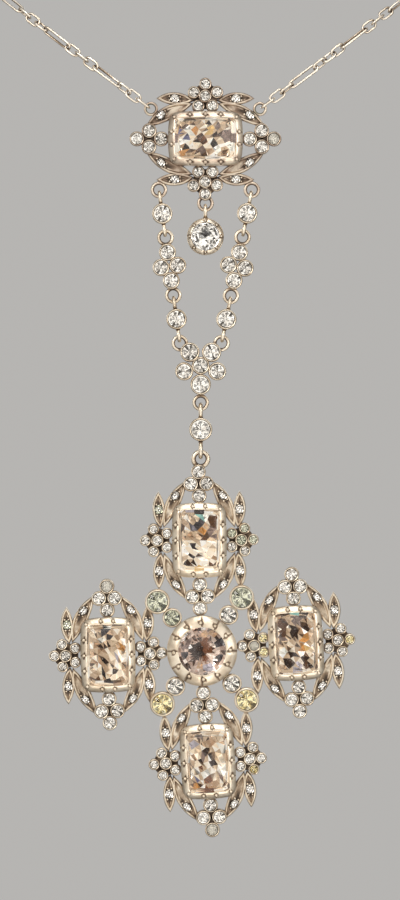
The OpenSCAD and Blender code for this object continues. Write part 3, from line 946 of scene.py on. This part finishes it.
def makePlaque():
    bm = newForm()
    addCluster(bm, at(0, 0, 0, rightAngle), cluster["plaqueFlower"], plaque["seed"], plaque["kinds"])
    for side in (-1, 1):
        solderedRing(bm, plaque["chainRing"], plaque["chainJoint"], side)
        solderedRing(bm, plaque["stringRing"], plaque["stringJoint"], side)
    flatRing(bm, *plaque["dropRing"])
    makePiece(
        bm, "plaqueFrame", [brownSilver, glass, foil], plaque["place"], "necklace", "silver",
        ["plaque_frame", "plaque_stones"],
    )


makePlaque()
print("plaque made")


# Cross

cross = {
    # centre setting: diameter, height and rim, then bevel, number of cuts and size of the grains
    "centre": (12.6, 4.0, 2.0), "centreCuts": (0.95, 12, 0.33),
    # on the diagonals: diameter, height and rim of the setting, its reach, and kind of stone
    "diagonal": math.radians(50.5),
    "diagonals": {"ne": (1, 1), "se": (1, -1), "sw": (-1, -1), "nw": (-1, 1)},
    "rows": {
        "inner": {
            "size": (3.5, 2.2, 0.31), "reach": 7.99, "slot": "white_paste", "seed": 2,
            "kinds": {"ne": "white", "se": "white", "sw": "white", "nw": "green"},
        },
        "outer": {
            "size": (4.5, 2.6, 0.37), "reach": 11.93, "slot": "green_paste", "seed": 4,
            "kinds": {"ne": "green", "se": "citrine", "sw": "citrine", "nw": "green"},
        },
    },
    "hangingRing": (1.43, 34.39, 3.5, 0.9), "hangingJoint": (-0.2, -1.4, 0.45),
    # place and turn of each cluster: set by hand, so none is quite true
    "arms": {
        "north": (0.48, 19.87, -2.3), "east": (16.9, 0.57, 0.7),
        "south": (0.07, -19.87, 0.7), "west": (-16.91, 0.1, -1.4),
    },
    "kinds": {
        "north": {14: "green", 15: "green", 16: "green", 17: "green", 24: "green"},
        "east": {8: "milky", 11: "citrine", 12: "citrine", 15: "citrine"},
        "south": {0: "milky", 19: "citrine"},
        "west": {5: "milky", 24: "green"},
    },
}
crossPlace = standUp(crossMiddle.x, crossMiddle.z, crossLean)


def armPlace(arm):
    x, y, turn = cross["arms"][arm]
    return at(x, y, 0, math.radians(turn))


def diagonalPlace(name, reach):
    x, y = cross["diagonals"][name]
    return at(x * reach * math.cos(cross["diagonal"]), y * reach * math.sin(cross["diagonal"]))


def makeCross():
    bm = newForm()
    for seed, arm in enumerate(cross["arms"]):
        addCluster(bm, armPlace(arm), cluster["armFlower"], 20 + seed, cross["kinds"][arm])
    stamp(bm, cutSetting(*cross["centre"], *cross["centreCuts"]), at(0, 0))
    for name in cross["diagonals"]:
        for row in cross["rows"].values():
            stamp(bm, roundSetting(*row["size"]), diagonalPlace(name, row["reach"]))
    solderedRing(bm, cross["hangingRing"], cross["hangingJoint"])
    nodes = ["cross_frame"] + [arm + "_stones" for arm in cross["arms"]]
    makePiece(bm, "crossFrame", frameMaterials, crossPlace, "cross", "silver", nodes)


makeCross()
print("cross made")


def camel(name):
    first, *rest = name.split("_")
    return first + "".join(word.capitalize() for word in rest)


def makeStone(form, node, place, body, slot, name=None):
    bm = newForm()
    stamp(bm, form, Matrix.Identity(4))
    for face in bm.faces:
        face.material_index -= 1
    makePiece(bm, name or camel(node), [glass, foil], place, body, slot, [node], shadedAndTarnished=False)


# Large stones: seed, shares of bright and middle foil above and below the middle, facets that stand out; the
# shares and the standing-out facets are painted reflections
# colours of the painted reflections that stand out in the stones
umber, brown, rust, tan = (0.045, 0.024, 0.015), (0.15, 0.075, 0.04), (0.20, 0.08, 0.036), (0.56, 0.36, 0.22)
slate, mauve, lilac, violet = (0.06, 0.048, 0.05), (0.26, 0.19, 0.165), (0.50, 0.46, 0.52), (0.20, 0.20, 0.34)
orange, amber, teal, cream = (0.58, 0.28, 0.09), (0.86, 0.58, 0.25), (0.30, 0.60, 0.55), (1.0, 0.96, 0.87)
largeStones = {
    "plaque": (5, (0.42, 0.46), (0.48, 0.42), [
        (-1.2, 5.0, 0.8, cream), (0.2, 5.4, 0.6, mauve), (1.1, 4.4, 0.4, violet), (0.1, 3.4, 0.4, violet),
        (-2.6, 4.0, 0.6, orange), (-1.7, 3.5, 0.5, umber), (0.9, 2.7, 0.6, cream), (1.5, 1.6, 0.6, orange),
        (-0.5, 1.6, 0.4, umber), (0.3, 0.8, 0.5, brown), (-2.3, 0.7, 0.5, mauve), (-0.2, 0.0, 0.5, rust),
        (1.4, -0.8, 0.7, amber), (-0.7, -1.7, 0.7, umber), (0.6, -1.4, 0.5, umber), (2.0, -2.3, 0.5, mauve),
        (0.4, -3.8, 0.9, mauve), (-1.7, -4.5, 0.8, cream), (0.1, -5.0, 0.6, mauve), (-2.0, -2.0, 0.7, cream),
    ]),
    "north": (7, (0.34, 0.54), (0.74, 0.17), [
        (-1.9, 5.3, 0.5, lilac), (-0.9, 5.4, 0.4, amber), (0.4, 5.2, 0.9, umber), (-0.7, 4.9, 0.6, umber),
        (0.3, 4.1, 0.5, teal), (1.5, 4.4, 0.7, cream), (2.5, 3.8, 0.7, brown), (2.3, 2.8, 0.7, brown),
        (-0.1, 3.0, 0.8, slate), (-1.0, 2.3, 0.6, lilac), (0.8, 1.7, 0.5, orange), (1.9, 1.9, 0.7, mauve),
        (2.2, 0.8, 0.6, mauve), (0.5, 0.6, 0.5, brown), (-1.6, 0.9, 0.7, tan), (-2.9, 2.0, 0.5, brown),
        (-1.1, -1.2, 0.6, slate), (-1.4, -2.8, 0.3, slate), (-2.2, -4.1, 0.6, umber),
        (-1.2, -3.9, 0.5, umber), (2.2, -4.3, 0.4, brown), (-0.4, -4.8, 0.6, amber),
    ]),
    "east": (9, (0.22, 0.58), (0.42, 0.44), [
        (-2.2, 3.9, 0.8, brown), (0.2, 5.1, 0.4, teal), (0.5, 4.2, 0.9, mauve), (2.1, 5.0, 0.5, umber),
        (-0.1, 2.9, 0.5, umber), (1.9, 2.6, 0.5, umber), (0.8, 2.5, 0.5, tan), (-0.2, 1.6, 0.8, umber),
        (1.5, 0.9, 0.7, orange), (-2.3, 2.1, 0.7, brown), (-2.3, 0.8, 0.5, mauve), (1.0, -0.9, 0.7, orange),
        (1.9, -1.0, 0.5, amber), (-0.6, -1.8, 0.6, umber), (1.5, -2.5, 0.4, umber), (-2.3, -1.5, 0.6, cream),
        (-1.6, -3.2, 0.8, umber), (1.5, -3.8, 0.5, brown), (2.3, -4.1, 0.4, umber), (0.3, -4.0, 0.5, lilac),
        (-0.4, -4.8, 0.6, lilac),
    ]),
    "south": (12, (0.32, 0.58), (0.40, 0.46), [
        (-1.0, 4.5, 0.6, mauve), (0.6, 3.5, 0.6, tan), (-2.4, 3.0, 0.6, lilac), (-0.1, 2.2, 0.5, umber),
        (0.2, 1.3, 0.5, umber), (-0.8, 1.0, 0.6, mauve), (-1.4, 0.3, 0.4, umber), (0.9, -0.5, 0.6, umber),
        (-1.3, -0.8, 0.5, rust), (-0.3, -1.4, 0.4, cream), (-0.9, -2.1, 0.5, cream), (0.0, -3.1, 0.8, rust),
        (-2.0, -3.2, 0.5, violet), (-2.3, -4.3, 0.5, orange), (0.6, -4.2, 0.7, tan), (-0.6, -5.2, 0.9, rust),
        (2.5, 2.4, 0.8, cream), (2.7, -1.5, 0.8, cream), (2.2, -2.9, 0.5, mauve), (2.6, -4.0, 0.4, brown),
    ]),
    "west": (15, (0.36, 0.56), (0.50, 0.42), [
        (-0.4, 4.4, 0.9, slate), (0.5, 5.0, 0.4, cream), (-1.0, 2.6, 0.6, cream), (-0.1, 1.6, 0.5, umber),
        (-1.8, 1.8, 0.6, tan), (-1.0, 0.8, 0.6, tan), (2.5, 1.3, 0.6, orange), (1.5, 0.0, 0.5, lilac),
        (1.6, -0.8, 0.4, lilac), (-1.8, -1.2, 0.6, tan), (-0.5, -1.2, 0.4, umber), (-0.8, -3.2, 0.5, slate),
        (-0.2, -4.5, 0.5, slate), (1.0, -2.9, 0.4, umber), (-2.0, -4.3, 0.5, brown), (0.2, 3.4, 0.4, slate),
    ]),
}
# the centre stone: its foil shares and patches are painted reflections
centreLook = {
    "kind": "rose", "seed": 3, "fit": (0.15, 0.2, 0.45),
    "upper": (0.13, 0.62), "lower": (0.23, 0.56), "blur": 0.5,
    "patches": [
        (-0.7, 0.1, 1.5, umber), (0.9, 0.2, 0.8, rust), (0.6, 1.6, 0.7, rust), (0.5, -1.3, 0.6, rust),
        (2.2, 3.0, 0.7, tan), (0.6, 3.0, 0.6, tan), (-0.4, 3.7, 0.6, mauve), (3.1, 1.4, 0.9, slate),
        (3.0, -1.4, 0.7, slate), (2.5, -2.2, 0.5, umber), (1.0, -3.0, 0.8, lilac), (-0.6, -2.6, 0.6, tan),
        (-3.0, -0.4, 0.6, slate), (-3.1, 0.8, 0.6, mauve), (-2.3, 1.7, 0.6, mauve),
    ],
}


def makeLargeStones():
    for name, look in largeStones.items():
        if name == "plaque":
            place, body = plaque["place"] @ at(0, 0, 0, rightAngle), "necklace"
        else:
            place, body = crossPlace @ armPlace(name), "cross"
        makeStone(cushionStone(name, *look), name + "_stone", place, body, "champagne_paste")
    form = largeRoundStone("centre", cross["centre"], centreLook)
    makeStone(form, "centre_stone", crossPlace, "cross", "rose_paste")
    for name in cross["diagonals"]:
        for rowName, row in cross["rows"].items():
            form = stoneForm(*row["size"], row["kinds"][name], row["seed"])
            place = crossPlace @ diagonalPlace(name, row["reach"])
            makeStone(form, f"{rowName}_{name}", place, "cross", row["slot"], rowName + name.upper())


makeLargeStones()
print("large stones made")


# Strings, flower, link and drop

hanging = {
    "drift": -0.85,
    "flowerY": -40.75, "flowerRing": (3.76, 4.05), "flowerLow": -6.65,
    "linkY": -52.23, "dropY": -17.61, "pitch": 8.68,
    # settings: diameter, height and rim; all petals have the same height and rim
    "single": (3.7, 2.3, 0.31), "quad": (3.1, 2.0, 0.28), "link": (4.2, 2.5, 0.31), "drop": (6.6, 3.4, 0.75),
    "petal": (2.2, 0.30),
    # bevel, number of cuts and size of the grains
    "dropCuts": (0.5, 8, 0.2),
    # rings and loops: outer diameter and wire
    "ring": (3.06, 0.66), "loop": (2.62, 0.72),
    "linkLoop": (3.0, 0.8), "linkLow": (3.5, 0.8), "dropLoop": (2.9, 0.72),
    "loopIn": 0.22, "touch": 0.06,
    # solder: its way from a ring's middle or out from a setting's edge, and its size
    # for a loop the size is a share of its wire
    "flowerJoint": (-0.7, -0.95, 0.36), "lowJoint": (0, 1.35, 0.36), "groupJoint": (1.3, 0.36),
    "loopJoint": (0.02, 0.58), "dropJoint": (0.05, 0.5),
}
quad = {"top": (0, 1.69), "outer": (1, 0), "inner": (-1, 0), "bottom": (0, -1.69)}
petals = {
    # angle, distance and diameter
    "heart": (0, 0, 3.2), "upper_right": (51, 3.1, 3.5), "upper_left": (129, 3.1, 3.5),
    "right": (-19, 3.15, 3.28), "left": (199, 3.15, 3.28), "low": (-90, 3.4, 3.7),
}
# the drop: its foil shares and its patch are painted reflections
dropLook = {
    "kind": "white", "seed": 8, "fit": (0.08, 0.16, 0.34),
    "upper": (0.26, 0.46), "lower": (0.46, 0.36), "blur": 0.0,
    "patches": [(0.0, 0.4, 0.5, slate)],
}


def flatPlace(x, y, turn=0.0):
    return standUp(plaqueMiddle.x + x * millimetre, plaqueMiddle.z + y * millimetre, turn)


def makeSilver(bm, node, place):
    makePiece(bm, camel(node), frameMaterials, place, "necklace", "silver", [node])


def makeWhiteStone(size, seed, node, place):
    makeStone(stoneForm(*size, "white", seed), node, place, "necklace", "white_paste")


def hungSetting(bm, size, loops):
    # loops: 1 above or -1 below, with outer diameter and wire
    stamp(bm, roundSetting(*size), Matrix.Identity(4))
    out, share = hanging["loopJoint"]
    for sign, (loop, wire) in loops.items():
        edgeRing(bm, 0, sign * ((size[0] + loop) / 2 - hanging["loopIn"]), loop, wire)
        solder(bm, 0, sign * (size[0] / 2 + out), wire * share)


def makeGroup(name, side, place, pitch):
    bm = newForm()
    size = hanging["quad"]
    step = (size[0] - hanging["touch"]) / 2
    for stone, (across, along) in quad.items():
        x, y = side * across * step, along * step
        stamp(bm, roundSetting(*size), at(x, y))
        makeWhiteStone(size, len(stone) % 5, f"{name}_{stone}", place @ at(x, y, 0, len(stone)))
    inward, jointSize = hanging["groupJoint"]
    for end in (-1, 1):
        flatRing(bm, 0, end * pitch / 2, *hanging["ring"])
        solder(bm, 0, end * (pitch / 2 - inward), jointSize)
    makeSilver(bm, name + "_group", place)


def makeStrings():
    ringX, ringY = hanging["flowerRing"]
    startX, startY = plaque["stringRing"][:2]
    for name, side in (("left", -1), ("right", 1)):
        top = Vector((side * startX, startY))
        run = Vector((side * ringX + hanging["drift"], hanging["flowerY"] + ringY)) - top
        turn = math.atan2(run.x, -run.y)
        upper = hanging["pitch"] / 2 / run.length
        for part, share in (("upper", upper), ("lower", 1 - upper)):
            place = flatPlace(*(top + run * share), turn)
            bm = newForm()
            hungSetting(bm, hanging["single"], {1: hanging["loop"], -1: hanging["loop"]})
            makeSilver(bm, f"{name}_{part}_link", place)
            makeWhiteStone(hanging["single"], 1, f"{name}_{part}_stone", place)
        makeGroup(name, side, flatPlace(*(top + run / 2), turn), run.length - 2 * hanging["pitch"])


def makeFlower():
    place = flatPlace(hanging["drift"], hanging["flowerY"])
    bm = newForm()
    for number, (name, (angle, reach, d)) in enumerate(petals.items()):
        x, y = reach * math.cos(math.radians(angle)), reach * math.sin(math.radians(angle))
        size = (d, *hanging["petal"])
        stamp(bm, roundSetting(*size), at(x, y))
        makeWhiteStone(size, number, "petal_" + name, place @ at(x, y, 0, number))
    for side in (-1, 1):
        solderedRing(bm, (*hanging["flowerRing"], *hanging["ring"]), hanging["flowerJoint"], side)
    solderedRing(bm, (0, hanging["flowerLow"], *hanging["ring"]), hanging["lowJoint"])
    makeSilver(bm, "flower_frame", place)


def makeLink():
    place = flatPlace(hanging["drift"], hanging["linkY"])
    bm = newForm()
    hungSetting(bm, hanging["link"], {1: hanging["linkLoop"], -1: hanging["linkLow"]})
    makeSilver(bm, "link_frame", place)
    makeWhiteStone(hanging["link"], 5, "link_stone", place)


def makeDrop():
    place = flatPlace(0, hanging["dropY"])
    d, (loop, wire), (out, jointSize) = hanging["drop"][0], hanging["dropLoop"], hanging["dropJoint"]
    bm = newForm()
    stamp(bm, cutSetting(*hanging["drop"], *hanging["dropCuts"]), Matrix.Identity(4))
    edgeRing(bm, 0, (d + loop) / 2 - hanging["loopIn"], loop, wire)
    solder(bm, 0, d / 2 + out, jointSize)
    makeSilver(bm, "drop_frame", place)
    form = largeRoundStone("drop", hanging["drop"], dropLook)
    makeStone(form, "drop_stone", place, "necklace", "white_paste")


makeStrings()
makeFlower()
makeLink()
makeDrop()
print("strings, flower, link and drop made")


# Chain: the links march along an ellipse in plan that climbs to the nape

chain = {
    "loopW": 119.5, "loopD": 106.0, "climb": math.radians(37), "wire": 0.45,
    "shortL": 3.2, "shortW": 2.0, "longL": 6.6, "longW": 1.8, "links": 61, "play": 0.12, "touch": 0.03,
    "rightTurn": math.radians(78), "leftTurn": math.radians(69),
    "clasp": (5.6, 0.86),
    "section": 8, "bendSteps": 9,
}


def linkLength(i):
    return chain["longL"] if i % 4 == 3 else chain["shortL"]


def slopeAt(phi):
    return chain["climb"] * math.cos(phi / 2)


def stepTurn(phi, distance, stretch):
    speed = math.hypot(chain["loopW"] / 2 * math.cos(phi), chain["loopD"] / 2 * math.sin(phi))
    return stretch * distance * math.cos(slopeAt(phi)) / speed


def march(phi, stretch):
    # angle round the loop and height of each link's middle
    z, places = 0.0, []
    for i in range(chain["links"]):
        places.append((phi, z))
        distance = (linkLength(i) + linkLength(i + 1)) / 2 - 2 * chain["wire"] - chain["play"]
        middle = phi + stepTurn(phi, distance / 2, stretch)
        phi += stepTurn(middle, distance, stretch)
        z += stretch * distance * math.sin(slopeAt(middle))
    return places


def ringHold(ringWire, length):
    # from the middle of a ring's wire to the middle of the link that hangs in it
    wire = chain["wire"]
    return (length - wire) / 2 - (ringWire + wire) / 2 - chain["play"]


def chainPlaces():
    halfW, halfD = chain["loopW"] / 2, chain["loopD"] / 2
    ringX, _, ringD, ringWire = plaque["chainRing"]
    ringOut = (ringD - ringWire) / 2 + ringHold(ringWire, chain["shortL"])
    start = math.asin((ringX + ringOut * math.cos(chain["climb"])) / halfW)
    claspD, claspWire = chain["clasp"]
    claspOut = (claspD - claspWire) / 2 + ringHold(claspWire, linkLength(chain["links"] - 1))
    end = math.pi - math.asin(claspOut / halfW)
    free = march(start, 1.0)
    places = march(start, (end - start) / (free[-1][0] - start))
    matrices = []
    for phi, z in places:
        spot = (halfW * math.sin(phi), claspWire / 2 - halfD * (1 + math.cos(phi)), z - places[-1][1])
        heading = math.atan2(halfD * math.sin(phi), halfW * math.cos(phi))
        along = Matrix.Rotation(heading, 4, "Z") @ Matrix.Rotation(-slopeAt(phi), 4, "Y")
        matrices.append(Matrix.Translation(spot) @ along)
    return matrices


def linkForm(length, width):
    # bent wire, closed and soldered; long enough to touch its neighbours
    bm = newForm()
    radius, straight = (width - chain["wire"]) / 2, length + chain["play"] + chain["touch"] - width
    verts = bmesh.ops.create_circle(bm, segments=chain["section"], radius=chain["wire"] / 2)["verts"]
    place = Matrix.Translation((straight / 2, -radius, 0)) @ Matrix.Rotation(rightAngle, 4, "Y")
    bmesh.ops.transform(bm, matrix=place, verts=verts)
    edges = edgesAt(verts)
    for end in (1, -1):
        bend = bmesh.ops.spin(
            bm, geom=verts + edges, cent=(end * straight / 2, 0, 0), axis=(0, 0, 1), angle=math.pi,
            steps=chain["bendSteps"],
        )["geom_last"]
        moved = bmesh.ops.extrude_edge_only(bm, edges=edgesOf(bend))["geom"]
        edges, verts = edgesOf(moved), [g for g in moved if isinstance(g, bmesh.types.BMVert)]
        bmesh.ops.translate(bm, vec=(-end * straight, 0, 0), verts=verts)
    bmesh.ops.remove_doubles(bm, verts=bm.verts, dist=0.01)
    return keepForm(bm, f"link{length}")


def makeWire(bm, name, node, sharp=38):
    makePiece(
        bm, name, [wireSilver], Matrix.Scale(millimetre, 4), "necklace", "chain_silver", [node], sharp=sharp,
    )


def makeChains():
    shortLink, longLink = linkForm(chain["shortL"], chain["shortW"]), linkForm(chain["longL"], chain["longW"])
    places = chainPlaces()
    for name, turn, mirrored in (("right", chain["rightTurn"], 1), ("left", chain["leftTurn"], -1)):
        flip = Matrix.Diagonal((mirrored, 1, 1, 1))
        bm = newForm()
        for i, place in enumerate(places):
            stamp(bm, longLink if i % 4 == 3 else shortLink, flip @ place @ Matrix.Rotation(turn * i, 4, "X"))
        makeWire(bm, name + "Chain", name + "_chain", 60)
    bm = newForm()
    d, wire = chain["clasp"]
    torus(bm, Matrix.Translation((0, wire / 2, 0)) @ Matrix.Rotation(rightAngle, 4, "X"), d, wire, 48, 16)
    makeWire(bm, "claspRing", "clasp")


makeChains()
print("chain made")


# Floor, light and camera

studio = {
    "floorZ": -1.1, "floorR": 7.0, "floor": (0.72, 0.70, 0.67), "floorGrain": (0.60, 0.585, 0.56),
    "grainScale": 60, "grainShare": 0.12, "floorRough": 0.75, "backdrop": (0.47, 0.46, 0.445),
    # light of the surroundings, from the camera's side to the far side
    "glow": [
        (0.0, (0.20, 0.20, 0.20)), (1.0, (0.45, 0.45, 0.45)), (0.003, (0.20, 0.20, 0.20)),
        (0.005, (1.16, 1.13, 1.08)), (0.20, (1.0, 0.97, 0.93)), (0.35, (0.50, 0.485, 0.46)),
        (0.48, (0.06, 0.06, 0.06)),
    ],
    # bright panels in the glow: scale, where one begins and is full, the light between them and what one adds
    "panelScale": 3.4, "panelEdge": (0.42, 0.50), "panelDim": 0.22, "panelGain": 0.98,
    "lights": [
        # place, size, power, warmth
        ((-0.55, -0.75, 0.35), 0.35, 2.0, (1.0, 0.96, 0.90)),
        ((0.65, -0.60, 0.10), 0.3, 0.9, (1.0, 0.97, 0.93)),
        ((0.0, -0.35, 0.75), 0.35, 1.2, (1.0, 0.98, 0.95)),
        ((0.1, -0.6, -0.75), 0.35, 1.0, (1.0, 0.95, 0.88)),
        ((0.5, 0.7, 0.5), 0.6, 1.0, (0.95, 0.97, 1.0)),
        ((-0.6, 0.7, 0.1), 0.6, 0.9, (0.95, 0.97, 1.0)),
    ],
    "aim": -0.04,  # the lights look at a point this far below the plaque
}


def makeFloor():
    bm = bmesh.new()
    bmesh.ops.create_circle(bm, cap_ends=True, segments=96, radius=studio["floorR"])
    bmesh.ops.translate(bm, vec=(0, 0, studio["floorZ"]), verts=bm.verts)
    mesh = keepForm(bm, "floor", recalc=False)
    shader = Shader("paleFloor")
    grain = shader.noise(studio["grainScale"]) * studio["grainShare"]
    colour = shader.mix(grain, studio["floor"], studio["floorGrain"])
    mesh.materials.append(shader.finish({"Base Color": colour, "Roughness": studio["floorRough"]}))
    floor = bpy.data.objects.new("floor", mesh)
    bpy.context.scene.collection.objects.link(floor)
    # the cut stones and the silver mirror the studio, not the floor
    floor.visible_glossy = floor.visible_transmission = False


def makeWorld():
    shader = Shader("studio", forWorld=True)
    depth = shader.add("ShaderNodeSeparateXYZ", {}, {0: shader.place}, "Y")
    around = shader.add("ShaderNodeMapRange", {}, {"Value": depth, "From Min": -1.0})
    glow = shader.add("ShaderNodeValToRGB", {"stops": studio["glow"]}, {0: around})
    seen = shader.add("ShaderNodeLightPath", {}, {}, "Is Camera Ray")
    panels = shader.ease(shader.noise(studio["panelScale"], 1.5, 0.6), *studio["panelEdge"])
    panels = panels * studio["panelGain"] + studio["panelDim"]
    grey = shader.add("ShaderNodeCombineColor", {}, {0: panels, 1: panels, 2: panels})
    glow = shader.mix(1.0, glow, grey, "MULTIPLY")
    background = shader.add("ShaderNodeBackground", {}, {"Color": shader.mix(seen, glow, studio["backdrop"])})
    shader.add("ShaderNodeOutputWorld", {}, {"Surface": background}, None)
    bpy.context.scene.world = shader.owner


photo = {"width": 400, "height": 900, "mmPerPixel": 0.18, "plaquePixel": (205.4, 139.4), "distance": 0.8}


def makeLightsAndCamera():
    target = Vector((0, backPlane, plaqueMiddle.z + studio["aim"]))
    for number, (place, size, power, tint) in enumerate(studio["lights"]):
        light = bpy.data.lights.new(f"softbox{number}", "AREA")
        light.shape, light.size, light.energy, light.color = "DISK", size, power, tint
        box = bpy.data.objects.new(f"softbox{number}", light)
        box.location = target + Vector(place)
        box.rotation_euler = (target - box.location).to_track_quat("-Z", "Y").to_euler()
        box.visible_camera = False
        bpy.context.scene.collection.objects.link(box)
    scale = photo["mmPerPixel"] * millimetre
    x = plaqueMiddle.x + (photo["width"] / 2 - photo["plaquePixel"][0]) * scale
    z = plaqueMiddle.z + (photo["plaquePixel"][1] - photo["height"] / 2) * scale
    data = bpy.data.cameras.new("camera")
    camera = bpy.data.objects.new("camera", data)
    camera.location = (x, backPlane - photo["distance"], z)
    camera.rotation_euler = (rightAngle, 0, 0)
    data.lens = data.sensor_width * photo["distance"] / (photo["height"] * scale)
    data.clip_start = 0.01
    bpy.context.scene.collection.objects.link(camera)
    bpy.context.scene.camera = camera
    bpy.context.scene.view_settings.view_transform = "Standard"


makeFloor()
makeWorld()
makeLightsAndCamera()
print("floor, light and camera made")
